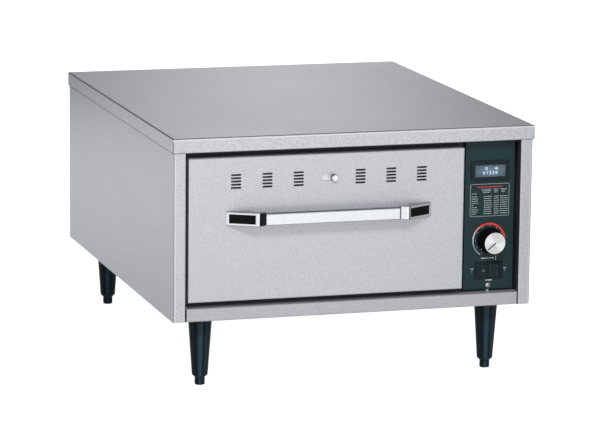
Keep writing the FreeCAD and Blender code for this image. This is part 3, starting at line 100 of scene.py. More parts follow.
class NodeSheet:
    """One material, and short ways to add and join its nodes."""

    def __init__(self, name: str) -> None:
        """Make a material with a principled shader on its output.

        Args:
            name: the material's name.
        """
        self.material = bpy.data.materials.new(name)
        self.material.use_nodes = True
        self.tree = self.material.node_tree
        self.tree.nodes.clear()
        self.shader = self.tree.nodes.new("ShaderNodeBsdfPrincipled")
        output = self.tree.nodes.new("ShaderNodeOutputMaterial")
        self.tree.links.new(self.shader.outputs["BSDF"], output.inputs["Surface"])
        self.place = self.tree.nodes.new("ShaderNodeTexCoord").outputs["Object"]

    def fix(self, **values: object) -> None:
        """Set constant values on the shader's own sockets, named with _ for a space."""
        for name, value in values.items():
            self.shader.inputs[name.replace("_", " ")].default_value = value

    def join(self, socket: bpy.types.NodeSocket, name: str) -> None:
        """Link a socket to one of the shader's inputs."""
        self.tree.links.new(socket, self.shader.inputs[name])

    def node(self, kind: str, sockets: dict, **settings: object) -> bpy.types.Node:
        """Add one node.

        Args:
            kind: the node's type.
            sockets: values or sockets for its inputs, by name or number.
            settings: the node's own properties.

        Returns:
            The node.
        """
        node = self.tree.nodes.new(kind)
        for name, value in settings.items():
            setattr(node, name, value)
        for key, value in sockets.items():
            if isinstance(value, bpy.types.NodeSocket):
                self.tree.links.new(value, node.inputs[key])
            else:
                node.inputs[key].default_value = value
        return node

    def stretched(self, scale: tuple, centre: tuple = (0, 0, 0)) -> bpy.types.NodeSocket:
        """Return object coordinates about a centre, scaled on each axis.

        Args:
            scale: the factor on each axis.
            centre: the point in metres that becomes (0, 0, 0).

        Returns:
            The scaled coordinates.
        """
        moved = tuple(-c * k for c, k in zip(centre, scale))
        node = self.node("ShaderNodeMapping", {"Vector": self.place, "Scale": scale, "Location": moved})
        return node.outputs["Vector"]

    def noise(self, vector: bpy.types.NodeSocket, scale: float, detail: float = 2.0) -> bpy.types.NodeSocket:
        """Return smooth noise of about 0.2 to 0.8 over a vector."""
        node = self.node("ShaderNodeTexNoise", {"Vector": vector, "Scale": scale, "Detail": detail})
        return node.outputs["Fac"]

    def span(self, value: bpy.types.NodeSocket, low: float, high: float,
             start: float = 0.3, stop: float = 0.7) -> bpy.types.NodeSocket:
        """Spread a value's range over another range.

        Args:
            value: the value.
            low: what start becomes.
            high: what stop becomes.
            start: where the value's range starts.
            stop: where it stops.

        Returns:
            The value in the new range, held at its ends.
        """
        node = self.node("ShaderNodeMapRange", {
            "Value": value, "From Min": start, "From Max": stop, "To Min": low, "To Max": high})
        return node.outputs["Result"]

    def sums(self, kind: str, one: object, other: object) -> bpy.types.NodeSocket:
        """Return the result of a Math node on two values."""
        return self.node("ShaderNodeMath", {0: one, 1: other}, operation=kind).outputs["Value"]

    def measured(self, kind: str, one: object, other: object = None) -> bpy.types.NodeSocket:
        """Return the number that a Vector Math node finds from one vector or from two."""
        given = {0: one} if other is None else {0: one, 1: other}
        return self.node("ShaderNodeVectorMath", given, operation=kind).outputs["Value"]

    def direction(self, vector: bpy.types.NodeSocket) -> bpy.types.NodeSocket:
        """Return a vector's direction, of length one."""
        return self.node("ShaderNodeVectorMath", {0: vector}, operation="NORMALIZE").outputs["Vector"]

    def mixed(self, factor: bpy.types.NodeSocket, first: object, second: object) -> bpy.types.NodeSocket:
        """Mix two colours.

        Args:
            factor: nought for the first and one for the second.
            first: a colour, or a socket that gives one.
            second: the same.

        Returns:
            The mixed colour.
        """
        node = self.tree.nodes.new("ShaderNodeMix")
        node.data_type = "RGBA"
        self.tree.links.new(factor, node.inputs[0])
        for place, value in ((6, first), (7, second)):
            if isinstance(value, bpy.types.NodeSocket):
                self.tree.links.new(value, node.inputs[place])
            else:
                node.inputs[place].default_value = value
        return node.outputs[2]

    def ramp(self, factor: bpy.types.NodeSocket, stops: list) -> bpy.types.NodeSocket:
        """Read a colour from a band of stops.

        Args:
            factor: the place on the band, from nought to one.
            stops: pairs of a place and a colour.

        Returns:
            The colour there.
        """
        node = self.node("ShaderNodeValToRGB", {"Fac": factor})
        band = node.color_ramp.elements
        while len(band) < len(stops):
            band.new(0.5)
        for element, (place, colour) in zip(band, stops):
            element.position = place
            element.color = colour
        return node.outputs["Color"]

    def dents(self, height: bpy.types.NodeSocket, strength: float, deep: float) -> None:
        """Give the shader a bumped normal from a height and a depth in metres."""
        node = self.node("ShaderNodeBump", {"Height": height, "Strength": strength, "Distance": deep})
        self.join(node.outputs["Normal"], "Normal")


# ---------------------------------------------------------------------------
# Finishes
# ---------------------------------------------------------------------------

@dataclass(frozen=True)
class Seam:
    """A thin band of painted shade or painted highlight along a bend, an edge or a joint: a line and its
    reach in millimetres, and its shade.

    A number left out (None) is a direction that the line runs in, and two of
    them make it a level. The factor is what the finish's tint is multiplied by.
    """

    line: tuple
    reach: float
    factor: float


@dataclass(frozen=True)
class Finish:
    """A finish: makes its material once, and hands it out after that."""

    name: str
    tint: Colour
    # Bands of painted shade and painted highlight along bends, edges and joints.
    seams: tuple[Seam, ...] = field(default=(), kw_only=True)

    def lined(self, sheet: NodeSheet, tone: bpy.types.NodeSocket) -> bpy.types.NodeSocket:
        """Paint shade and highlights along the seams.

        A point's distance to the line, over the seam's reach, fades the
        seam's painted shade or highlight in from one down to a half.

        Args:
            sheet: the material.
            tone: its colour so far.

        Returns:
            The colour with the bands on it.
        """
        for seam in self.seams:
            scale = tuple(0.0 if place is None else 1 / (seam.reach * MM) for place in seam.line)
            start = tuple(0.0 if place is None else place * MM for place in seam.line)
            across = sheet.stretched(scale, start)
            far = sheet.measured("LENGTH", across)
            tone = sheet.mixed(sheet.span(far, 1.0, 0.0, 0.5, 1.0), tone, times(self.tint, seam.factor))
        return tone

    def dress(self, sheet: NodeSheet) -> None:
        """Fill in the shader. Each kind of finish has its own.

        Args:
            sheet: the material.
        """
        raise NotImplementedError

    def material(self) -> bpy.types.Material:
        """Find this finish's material, or make it the first time it is asked for.

        Returns:
            The material.
        """
        found = bpy.data.materials.get(self.name)
        if found is None:
            sheet = NodeSheet(self.name)
            self.dress(sheet)
            found = sheet.material
        return found


@dataclass(frozen=True)
class BrushedSteel(Finish):
    """Stainless sheet: fine scratches one way, a satin sparkle, and faint wiped patches.

    It is half metallic, so that lamps and shadows show on it as well as the
    surroundings do. Across and lengthways are the scales of the scratches'
    noise over the grain and along it.
    """

    grain: Grain = Grain.ALONG_X
    roughness: float = 0.36
    scratch: float = 0.12
    metal: float = 0.5
    sparkle: float = 0.17
    across: float = 2600.0
    lengthways: float = 34.0

    def dress(self, sheet: NodeSheet) -> None:
        """Join long thin noise, a fine speckle and a broad patch noise to the shader.

        Args:
            sheet: the material.
        """
        scale = [self.across] * 3
        scale[self.grain.value] = self.lengthways
        lines = sheet.noise(sheet.stretched(tuple(scale)), 1.0, 3.0)
        speck = sheet.noise(sheet.place, 520.0, 2.0)
        patch = sheet.noise(sheet.place, 5.0, 3.0)
        dull, bright = times(self.tint, 0.98 - self.sparkle), times(self.tint, 1.0 + self.sparkle)
        tone = sheet.mixed(sheet.span(speck, 0.0, 1.0), dull, bright)
        tone = sheet.mixed(sheet.span(lines, 0.0, 0.4, 0.35, 0.65), tone, times(self.tint, 1.06))
        tone = sheet.mixed(sheet.span(patch, 0.0, 0.35), tone, times(self.tint, 0.96))
        sheet.join(self.lined(sheet, tone), "Base Color")
        rough = sheet.sums("ADD", sheet.span(lines, -0.05, 0.05), sheet.span(patch, -0.01, 0.02))
        sheet.join(sheet.sums("ADD", rough, self.roughness), "Roughness")
        sheet.fix(Metallic=self.metal)
        sheet.dents(lines, self.scratch, 0.00004)


@dataclass(frozen=True)
class PunchedSteel(BrushedSteel):
    """Brushed steel with a pattern of punched slots, with painted shade round each slot's edge.

    The slots stand in columns on both sides of a middle that has none, and in
    rows above and below it. The middle, the pitch, the slot and the rim are in
    millimetres, across and upwards. The pattern reaches so many columns and
    rows of its pitch from the middle, each way.
    """

    middle: tuple[float, float] = (0.0, 0.0)
    pitch: tuple[float, float] = (46.2, 4.6)
    slot: tuple[float, float] = (14.5, 2.1)
    columns: float = 3.5
    rows: float = 2.5
    # The width of the painted shade round each slot, and its factor.
    rim: float = 0.35
    dark: float = 0.06

    def lined(self, sheet: NodeSheet, tone: bpy.types.NodeSocket) -> bpy.types.NodeSocket:
        """Paint shade on the rim of each slot.

        A point is on a slot or its rim where its distances to the nearest
        column and row are less than half a slot and the rim, and it lies
        within the pattern. The rim is thinner at a slot's ends.

        Args:
            sheet: the material.
            tone: its colour so far.

        Returns:
            The colour with the seams and the painted shade of the rims on it.
        """
        tone = super().lined(sheet, tone)
        from_middle = sheet.stretched((1.0, 1.0, 1.0), (self.middle[0] * MM, 0.0, self.middle[1] * MM))
        parts = sheet.node("ShaderNodeSeparateXYZ", {0: from_middle}).outputs
        aside, above = (sheet.sums("ABSOLUTE", parts[name], 0.0) for name in "XZ")
        tests = [sheet.sums("GREATER_THAN", aside, self.pitch[0] / 2 * MM)]
        ways = ((aside, self.pitch[0], self.slot[0], self.columns, self.rim / 4),
                (above, self.pitch[1], self.slot[1], self.rows, self.rim))
        for far, step, size, count, rim in ways:
            nearest = sheet.sums("PINGPONG", far, step / 2 * MM)
            tests.append(sheet.sums("LESS_THAN", nearest, (size / 2 + rim) * MM))
            tests.append(sheet.sums("LESS_THAN", far, count * step * MM))
        inside = tests[0]
        for test in tests[1:]:
            inside = sheet.sums("MULTIPLY", inside, test)
        return sheet.mixed(inside, tone, times(self.tint, self.dark))


@dataclass(frozen=True)
class PlainSheet(Finish):
    """Unpolished sheet of the inner parts: rolled, with a cloudy surface."""

    roughness: float = 0.42
    metal: float = 0.5

    def dress(self, sheet: NodeSheet) -> None:
        """Join a cloudy noise and a fine rolled grain to the shader.

        Args:
            sheet: the material.
        """
        cloud = sheet.noise(sheet.place, 26.0, 4.0)
        rolled = sheet.noise(sheet.stretched((900.0, 40.0, 900.0)), 1.0, 2.0)
        tone = sheet.mixed(sheet.span(cloud, 0.0, 1.0), times(self.tint, 0.92), self.tint)
        sheet.join(self.lined(sheet, tone), "Base Color")
        sheet.join(sheet.span(cloud, self.roughness - 0.03, self.roughness + 0.04), "Roughness")
        sheet.fix(Metallic=self.metal)
        sheet.dents(rolled, 0.10, 0.00004)


@dataclass(frozen=True)
class Chrome(Finish):
    """Bright plated metal: a near mirror with wiped streaks and soft ripples."""

    roughness: float = 0.07

    def dress(self, sheet: NodeSheet) -> None:
        """Join wiped streaks to the roughness and soft ripples to the normal.

        Args:
            sheet: the material.
        """
        wiped = sheet.noise(sheet.stretched((60.0, 200.0, 260.0)), 1.0, 4.0)
        ripple = sheet.noise(sheet.place, 140.0, 1.0)
        tone = sheet.mixed(sheet.span(wiped, 0.0, 1.0), times(self.tint, 0.93), self.tint)
        sheet.join(self.lined(sheet, tone), "Base Color")
        sheet.join(sheet.span(wiped, self.roughness, self.roughness + 0.08), "Roughness")
        sheet.fix(Metallic=1.0)
        sheet.dents(ripple, 0.10, 0.0001)


@dataclass(frozen=True)
class Moulded(Finish):
    """Moulded plastic or rubber: an eggshell texture, with paler rubbed patches."""

    roughness: float = 0.35
    texture: float = 0.15
    gloss: float = 0.25

    def dress(self, sheet: NodeSheet) -> None:
        """Join a fine cell texture and a broad rubbed noise to the shader.

        Args:
            sheet: the material.
        """
        cells = sheet.node("ShaderNodeTexVoronoi", {"Vector": sheet.place, "Scale": 1400.0})
        rubbed = sheet.noise(sheet.place, 30.0, 4.0)
        lighter = tuple(min(1.0, c * 1.25 + 0.004) for c in self.tint[:3]) + (1.0,)
        tone = sheet.mixed(sheet.span(rubbed, 0.0, 1.0), self.tint, lighter)
        sheet.join(self.lined(sheet, tone), "Base Color")
        sheet.join(sheet.span(rubbed, self.roughness - 0.05, self.roughness + 0.07), "Roughness")
        sheet.fix(Specular_IOR_Level=self.gloss)
        sheet.dents(cells.outputs["Distance"], self.texture, 0.0001)


@dataclass(frozen=True)
class StreakedNylon(Moulded):
    """Glossy nylon of a leg: painted reflection streaks down it, and a painted highlight line down its
    front.
    """

    centre: tuple[float, float, float] = (0.0, 0.0, 0.0)
    # The colour of the painted reflection streaks, and the way that the painted highlight line faces.
    pale: Colour = (0.04, 0.07, 0.09, 1.0)
    shine: tuple[float, float, float] = (-0.19, -0.98, 0.0)

    def dress(self, sheet: NodeSheet) -> None:
        """Read noise from the direction about the leg's axis alone, so that the painted reflection streaks
        run up and down.

        The painted highlight line is where that direction is close to the shine's.

        Args:
            sheet: the material.
        """
        around = sheet.stretched((1.0, 1.0, 0.0), self.centre)
        way = sheet.direction(around)
        streaks = sheet.noise(way, 2.6, 3.0)
        dust = sheet.noise(sheet.place, 420.0, 2.0)
        tone = sheet.mixed(sheet.span(streaks, 0.0, 1.0, 0.46, 0.66), self.tint, self.pale)
        lit = sheet.measured("DOT_PRODUCT", way, self.shine)
        tone = sheet.mixed(sheet.span(lit, 0.0, 0.7, 0.955, 0.998), tone, times(self.pale, 1.7))
        sheet.join(sheet.mixed(sheet.span(dust, 0.0, 0.4), tone, times(self.tint, 1.6)), "Base Color")
        sheet.join(sheet.span(streaks, self.roughness, self.roughness + 0.12), "Roughness")
        sheet.fix(Specular_IOR_Level=self.gloss)
        sheet.dents(dust, self.texture, 0.0001)


@dataclass(frozen=True)
class Enamel(Finish):
    """Baked paint on sheet: satin, with a faint orange-peel surface."""

    roughness: float = 0.38

    def dress(self, sheet: NodeSheet) -> None:
        """Join an orange-peel noise and a slow colour drift to the shader.

        Args:
            sheet: the material.
        """
        peel = sheet.noise(sheet.place, 620.0, 1.0)
        drift = sheet.noise(sheet.place, 14.0, 3.0)
        tone = sheet.mixed(sheet.span(drift, 0.0, 1.0), times(self.tint, 0.88), times(self.tint, 1.12))
        sheet.join(tone, "Base Color")
        sheet.join(sheet.span(peel, self.roughness - 0.04, self.roughness + 0.05), "Roughness")
        sheet.fix(Specular_IOR_Level=0.3)
        sheet.dents(peel, 0.10, 0.00015)


@dataclass(frozen=True)
class Ink(Finish):
    """Screen-printed ink: flat colour, slightly thin where the mesh of the screen held it back."""

    def dress(self, sheet: NodeSheet) -> None:
        """Join a fine weave to the colour.

        Args:
            sheet: the material.
        """
        weave = sheet.noise(sheet.place, 2400.0, 1.0)
        sheet.join(sheet.mixed(sheet.span(weave, 0.0, 0.5), self.tint, times(self.tint, 0.72)), "Base Color")
        sheet.fix(Roughness=0.55)


@dataclass(frozen=True)
class HeatBand(Finish):
    """Dial print that runs from white through salmon to red along its own length."""

    hot: Colour = (0.6, 0.02, 0.01, 1.0)

    def dress(self, sheet: NodeSheet) -> None:
        """Read the print's own map along the arc into a band of colours.

        Args:
            sheet: the material.
        """
        along = sheet.node("ShaderNodeUVMap", {}, uv_map="UVMap").outputs["UV"]
        run = sheet.node("ShaderNodeSeparateXYZ", {"Vector": along}).outputs["X"]
        salmon = shade(228, 150, 132)
        stops = [(0.0, self.tint), (0.22, self.tint), (0.32, salmon), (0.42, self.hot), (1.0, self.hot)]
        sheet.join(sheet.ramp(run, stops), "Base Color")
        sheet.fix(Roughness=0.5)


@dataclass(frozen=True)
class TurnedDisc(Finish):
    """Spun bright metal: fine rings about an axis, a painted sunray highlight along one line, and a painted
    highlight round the rim.
    """

    centre: tuple[float, float, float] = (0.0, 0.0, 0.0)
    # The direction of the painted sunray highlight, and the radius in metres of the painted rim highlight.
    fan: tuple[float, float, float] = (-0.84, 0.0, 0.54)
    rim: float = 0.0148

    def dress(self, sheet: NodeSheet) -> None:
        """Make rings from the distance to the axis, stretch the gloss round them, and paint highlights along
        the sunray line and round the rim.

        Args:
            sheet: the material.
        """
        around = sheet.stretched((1.0, 0.0, 1.0), self.centre)
        reach = sheet.measured("LENGTH", around)
        rings = sheet.node("ShaderNodeCombineXYZ", {"X": reach}).outputs["Vector"]
        cut = sheet.noise(rings, 5200.0, 2.0)
        sheet.join(sheet.span(cut, 0.26, 0.32), "Roughness")
        way = sheet.direction(around)
        fan = sheet.measured("DOT_PRODUCT", way, self.fan)
        fan = sheet.span(sheet.sums("ABSOLUTE", fan, 0.0), 0.0, 1.0, 0.72, 1.0)
        rim = sheet.span(reach, 0.0, 1.0, self.rim - 0.0004, self.rim)
        # Painted highlight: the sunray line and the rim take the full tint.
        bright = sheet.sums("MAXIMUM", fan, rim)
        tone = sheet.mixed(sheet.span(cut, 0.0, 1.0), times(self.tint, 0.72), times(self.tint, 0.80))
        sheet.join(sheet.mixed(bright, tone, self.tint), "Base Color")
        turned = sheet.node("ShaderNodeTangent", {}, direction_type="RADIAL", axis="Y")
        sheet.join(turned.outputs["Tangent"], "Tangent")
        sheet.fix(Metallic=0.5, Anisotropic=0.85)


@dataclass(frozen=True)
class LitScreen(Finish):
    """A lit display behind a smoked window: a blue glow, brighter in the middle, on a fine grid."""

    centre: tuple[float, float, float] = (0.0, 0.0, 0.0)

    def dress(self, sheet: NodeSheet) -> None:
        """Fade the glow out from the centre, and lay the cells of the screen on it.

        Args:
            sheet: the material.
        """
        around = sheet.stretched((38.0, 0.0, 95.0), self.centre)
        reach = sheet.measured("LENGTH", around)
        stops = [(0.0, self.tint), (0.40, times(self.tint, 0.6)), (1.0, times(self.tint, 0.22))]
        glow = sheet.ramp(reach, stops)
        cells = sheet.noise(sheet.place, 1500.0, 1.0)
        tone = sheet.mixed(sheet.span(cells, 0.0, 0.3), glow, times(self.tint, 0.5))
        sheet.join(tone, "Base Color")
        sheet.join(tone, "Emission Color")
        sheet.fix(Emission_Strength=0.45, Roughness=0.12, Coat_Weight=0.6, Coat_Roughness=0.05)


@dataclass(frozen=True)
class Glow(Finish):
    """Lit figures of the display."""

    def dress(self, sheet: NodeSheet) -> None:
        """Let the figures shine, a little uneven as lit cells are.

        Args:
            sheet: the material.
        """
        cells = sheet.noise(sheet.place, 900.0, 1.0)
        tone = sheet.mixed(sheet.span(cells, 0.0, 1.0), self.tint, times(self.tint, 0.8))
        sheet.join(tone, "Base Color")
        sheet.join(tone, "Emission Color")
        sheet.fix(Emission_Strength=0.8, Roughness=0.4)


@dataclass(frozen=True)
class Wool(Finish):
    """Glass wool: a matted, uneven felt of fibres."""

    def dress(self, sheet: NodeSheet) -> None:
        """Join tangled stretched noises to the colour and the height.

        Args:
            sheet: the material.
        """
        one = sheet.noise(sheet.stretched((90.0, 700.0, 260.0)), 1.0, 5.0)
        other = sheet.noise(sheet.stretched((700.0, 110.0, 200.0)), 1.0, 5.0)
        tangle = sheet.sums("MULTIPLY", one, other)
        tone = sheet.mixed(sheet.span(tangle, 0.0, 1.0, 0.12, 0.4), times(self.tint, 0.6), self.tint)
        sheet.join(tone, "Base Color")
        sheet.fix(Roughness=0.95)
        sheet.dents(tangle, 0.6, 0.002)


@dataclass(frozen=True)
class HeatedRod(Finish):
    """Sheath of the heating element: steel gone straw and blue with heat."""

    def dress(self, sheet: NodeSheet) -> None:
        """Let slow noise run the sheath's tint from grey through straw to blue.

        Args:
            sheet: the material.
        """
        run = sheet.noise(sheet.place, 9.0, 3.0)
        grit = sheet.noise(sheet.place, 900.0, 2.0)
        straw, blue = shade(128, 108, 82), shade(84, 84, 108)
        stops = [(0.0, self.tint), (0.45, straw), (0.75, blue), (1.0, self.tint)]
        sheet.join(sheet.ramp(sheet.span(run, 0.0, 1.0), stops), "Base Color")
        sheet.join(sheet.span(grit, 0.38, 0.55), "Roughness")
        sheet.fix(Metallic=0.9)
        sheet.dents(grit, 0.15, 0.0001)


@dataclass(frozen=True)
class Board(Finish):
    """A circuit board: green lacquer over a grid of tracks."""

    def dress(self, sheet: NodeSheet) -> None:
        """Lay a brick pattern of tracks under the lacquer.

        Args:
            sheet: the material.
        """
        turned = sheet.node("ShaderNodeSeparateXYZ", {"Vector": sheet.place}).outputs
        flat = sheet.node("ShaderNodeCombineXYZ", {"X": turned["X"], "Y": turned["Z"]}).outputs["Vector"]
        tracks = sheet.node("ShaderNodeTexBrick", {
            "Vector": flat, "Scale": 160.0, "Mortar Size": 0.06, "Color1": self.tint,
            "Color2": times(self.tint, 1.3), "Mortar": times(self.tint, 2.2)})
        sheet.join(tracks.outputs["Color"], "Base Color")
        sheet.fix(Roughness=0.3)


STEEL_TINT = shade(203, 205, 211)
DRAWER_STEEL = PunchedSteel("stainless_drawer", STEEL_TINT, Grain.ALONG_X)
TOP_STEEL = BrushedSteel("stainless_top", STEEL_TINT, Grain.ALONG_Y, sparkle=0.24)
SIDE_STEEL = BrushedSteel("stainless_side", STEEL_TINT, Grain.ALONG_Y, sparkle=0.22)
# The rail under the drawer: the same stainless with a darker tint, as painted shade.
SHADED_RAIL_STEEL = BrushedSteel("stainless_rail", shade(190, 192, 197), Grain.ALONG_X)
BAR_STEEL = BrushedSteel("stainless_bar", shade(236, 239, 244), Grain.ALONG_X,
                         roughness=0.24, scratch=0.08, metal=0.85, sparkle=0.05)
PLAIN = PlainSheet("plain_sheet_metal", shade(176, 178, 180))
SHUTTER_STEEL = PlainSheet("rolled_steel_shutter", shade(236, 238, 242))
PAN_STEEL = PlainSheet("pan_steel_drawn", shade(204, 206, 209), roughness=0.28)
# The face frame, seen in the gaps round the drawer: sheet painted near black, as painted shade.
SHADED_FRAME_STEEL = PlainSheet("frame_steel", shade(44, 48, 50), roughness=0.45)
PLATED = Chrome("bright_chrome", shade(232, 234, 238))
STUD_CHROME = replace(PLATED, name="bright_chrome_stud")
BRACKET_CHROME = replace(PLATED, name="bright_chrome_bracket")
SCREW_METAL = Chrome("screw_nickel", shade(214, 216, 220), roughness=0.16)
PANEL_PAINT = Enamel("slate_green_enamel", shade(22, 49, 52))
LEG_BLACK = StreakedNylon("leg_nylon", shade(8, 20, 26), roughness=0.26, texture=0.05, gloss=0.10,
                          pale=shade(46, 68, 80))
KNOB_BLACK = Moulded("knob_phenolic", shade(4, 5, 5), roughness=0.68, texture=0.06, gloss=0.06)
SWITCH_BLACK = Moulded("switch_nylon", shade(8, 25, 30), roughness=0.30, texture=0.10)
ROCKER_BLACK = replace(SWITCH_BLACK, name="switch_rocker")
BEZEL_BLACK = Moulded("bezel_plastic", shade(11, 26, 31), roughness=0.30, texture=0.10)
INLAY_BLACK = Moulded("inlay_gloss", shade(5, 5, 6), roughness=0.12, texture=0.02, gloss=0.08)
DULL_BLACK = Moulded("gland_nylon", shade(26, 27, 28), roughness=0.50, texture=0.25)
RUBBER = Moulded("bumper_rubber_black", shade(34, 34, 35), roughness=0.70, texture=0.30)
NYLON = Moulded("roller_nylon_white", shade(222, 220, 210), roughness=0.34, texture=0.08)
PALE_PLASTIC = Moulded("pale_phenolic", shade(196, 190, 172), roughness=0.45, texture=0.12)
WHITE_INK = Ink("white_ink", shade(228, 234, 236))
GREY_INK = Ink("grey_ink", shade(184, 190, 190))
RED_INK = Ink("red_ink", shade(206, 62, 52))
ROCKER_INK = Ink("rocker_blue_ink", shade(120, 160, 178))
RING_INK = HeatBand("dial_ring_ink", shade(226, 232, 234), shade(238, 58, 42))
LIT_CELLS = Glow("display_lit_cells", shade(216, 236, 246))
DISPLAY_GLOW = LitScreen("display_glow", shade(84, 116, 140))
SPUN_METAL = TurnedDisc("knob_spun_cap", shade(250, 252, 254))
GLASS_WOOL = Wool("glass_wool_felt", shade(216, 196, 128))
ROD = HeatedRod("element_sheath", shade(118, 116, 114))
GREEN_BOARD = Board("circuit_board_green", shade(28, 84, 52))


# ---------------------------------------------------------------------------
# Surfaces worked out with numpy
# ---------------------------------------------------------------------------

@dataclass
class Shell:
    """Points and faces of one closed surface, in millimetres until it is made."""

    points: np.ndarray
    faces: list

    def shifted(self, x: float, y: float, z: float) -> "Shell":
        """Return this shell moved by (x, y, z)."""
        return Shell(self.points + np.array([x, y, z]), self.faces)

    def turned(self, matrix: np.ndarray) -> "Shell":
        """Return this shell with every point multiplied by a 3 by 3 matrix."""
        return Shell(self.points @ matrix.T, self.faces)


def joined(shells: list) -> Shell:
    """Put several shells into one, numbering each one's faces on from the last.

    Args:
        shells: the shells.

    Returns:
        One shell with all their points and faces.
    """
    starts = np.cumsum([0] + [len(shell.points) for shell in shells[:-1]])
    faces = [tuple(int(i + start) for i in face)
             for shell, start in zip(shells, starts) for face in shell.faces]
    return Shell(np.concatenate([shell.points for shell in shells]), faces)


def grid(points: np.ndarray, round_u: bool, round_v: bool, capped: bool = False) -> Shell:
    """Turn a grid of points into quads, each from a point and its next ones along u and v.

    Args:
        points: an array of shape (u, v, 3).
        round_u: the last row joins the first.
        round_v: the last column joins the first.
        capped: the first and last rows are closed with one face each.

    Returns:
        The surface.
    """
    rows, columns = points.shape[:2]
    u = np.arange(rows if round_u else rows - 1)[:, None]
    v = np.arange(columns if round_v else columns - 1)[None, :]
    after_u, after_v = (u + 1) % rows, (v + 1) % columns
    here, ahead = u * columns, after_u * columns
    quads = np.stack([here + v, ahead + v, ahead + after_v, here + after_v], -1)
    faces = [tuple(quad) for quad in quads.reshape(-1, 4).tolist()]
    if capped:
        faces.append(tuple(range(columns)))
        faces.append(tuple(range(rows * columns - 1, (rows - 1) * columns - 1, -1)))
    return Shell(points.reshape(-1, 3), faces)


def lathed(profile: np.ndarray, steps: int, ribs: int = 0, deep: float = 0.0) -> Shell:
    """Turn a closed profile of (radius, height, ribbing) about the z axis.

    Each point is (r cos a, r sin a, h), where r is the profile's radius less
    the ribbing there times the depth times (1 - cos(ribs a)) / 2.

    Args:
        profile: an array of shape (n, 3) in millimetres, whose last row joins the first.
        steps: how many points go round.
        ribs: how many ribs go round.
        deep: how deep the grooves between them are.

    Returns:
        The surface, a ring about the axis.
    """
    angle = np.linspace(0, 2 * math.pi, steps, endpoint=False)
    groove = deep * (1 - np.cos(ribs * angle)) / 2
    radius = profile[:, :1] - profile[:, 2:] * groove
    height = np.broadcast_to(profile[:, 1:2], radius.shape)
    points = np.stack([radius * np.cos(angle), radius * np.sin(angle), height], -1)
    return grid(points, True, True)


def carried(profile: np.ndarray, path: np.ndarray, side: np.ndarray, up: np.ndarray, ring: bool) -> Shell:
    """Carry a closed profile along a path.

    Each point is the path's point, plus the profile's first number along the
    side direction there, plus its second number along the up direction.

    Args:
        profile: an array of shape (k, 2), or (n, k, 2) for one that changes.
        path: an array of shape (n, 3).
        side: directions of shape (n, 3), or one of shape (3,).
        up: directions of shape (n, 3), or one of shape (3,).
        ring: the path closes on itself, so its ends aren't capped.

    Returns:
        The surface.
    """
    count = len(path)
    outline = np.broadcast_to(profile, (count, *profile.shape[-2:]))
    sideways = np.broadcast_to(side, (count, 3))[:, None, :]
    upward = np.broadcast_to(up, (count, 3))[:, None, :]
    points = path[:, None, :] + outline[..., :1] * sideways + outline[..., 1:] * upward
    return grid(points, ring, True, not ring)


def strip(wide: float, under: float, over: float) -> np.ndarray:
    """Return the section of a flat strip: its width, and how far it reaches under and over its path."""
    half = wide / 2
    return np.array([[-half, -under], [half, -under], [half, over], [-half, over]])


def rounded(width: float, height: float, radius: float, steps: int = 6) -> np.ndarray:
    """Return the outline of a rectangle with round corners about (0, 0).

    Each corner is a quarter circle of the radius about a point that far in
    from both sides.

    Args:
        width: the rectangle's width.
        height: its height.
        radius: of the corners.
        steps: points on each corner.

    Returns:
        An array of shape (4 * steps, 2), anticlockwise.
    """
    quarter = np.linspace(0, math.pi / 2, steps)
    starts = np.arange(4)[:, None] * math.pi / 2
    angle = (starts + quarter).ravel()
    across = np.repeat([1, -1, -1, 1], steps) * (width / 2 - radius)
    upward = np.repeat([1, 1, -1, -1], steps) * (height / 2 - radius)
    return np.stack([across + radius * np.cos(angle), upward + radius * np.sin(angle)], -1)


def made(name: str, shell: Shell, finish: Finish, body: str,
         smooth: float = 35.0, along: np.ndarray | None = None) -> bpy.types.Object:
    """Make a Blender object from a shell, dress it, and set it riding on a body.

    Args:
        name: the object's name.
        shell: its surface, in millimetres in the model's frame.
        finish: what it is dressed in.
        body: the body it moves with.
        smooth: edges flatter than this many degrees are shaded smooth.
        along: a number for each point, kept as the first half of its own map.

    Returns:
        The object.
    """
    mesh = bpy.data.meshes.new(name)
    mesh.from_pydata((shell.points * MM).tolist(), [], shell.faces)
    if along is not None:
        layer = mesh.uv_layers.new(name="UVMap")
        corner = np.zeros(len(mesh.loops), dtype=np.int32)
        mesh.loops.foreach_get("vertex_index", corner)
        pairs = np.stack([along[corner], np.full(len(corner), 0.5)], -1)
        layer.data.foreach_set("uv", pairs.astype(np.float32).ravel())
    work = bmesh.new()
    work.from_mesh(mesh)
    bmesh.ops.remove_doubles(work, verts=work.verts, dist=1e-6)
    bmesh.ops.dissolve_degenerate(work, edges=work.edges, dist=1e-7)
    bmesh.ops.recalc_face_normals(work, faces=work.faces)
    work.to_mesh(mesh)
    work.free()
    mesh.shade_smooth()
    mesh.set_sharp_from_angle(angle=math.radians(smooth))
    mesh.materials.append(finish.material())
    thing = bpy.data.objects.new(name, mesh)
    bpy.context.scene.collection.objects.link(thing)
    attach(thing, body)
    LOG.info("piece %s: %d faces on %s", name, len(mesh.polygons), body)
    return thing


# Directions of a print on an upright face that looks to the front.
RIGHT = np.array([1.0, 0.0, 0.0])
FRONT = np.array([0.0, -1.0, 0.0])
UP = np.array([0.0, 0.0, 1.0])

# How far ink stands over its face and reaches under it, in millimetres.
INK_OVER = 0.08
INK_UNDER = 0.02

# Height of a capital letter of size one.
CAPITAL = 0.72


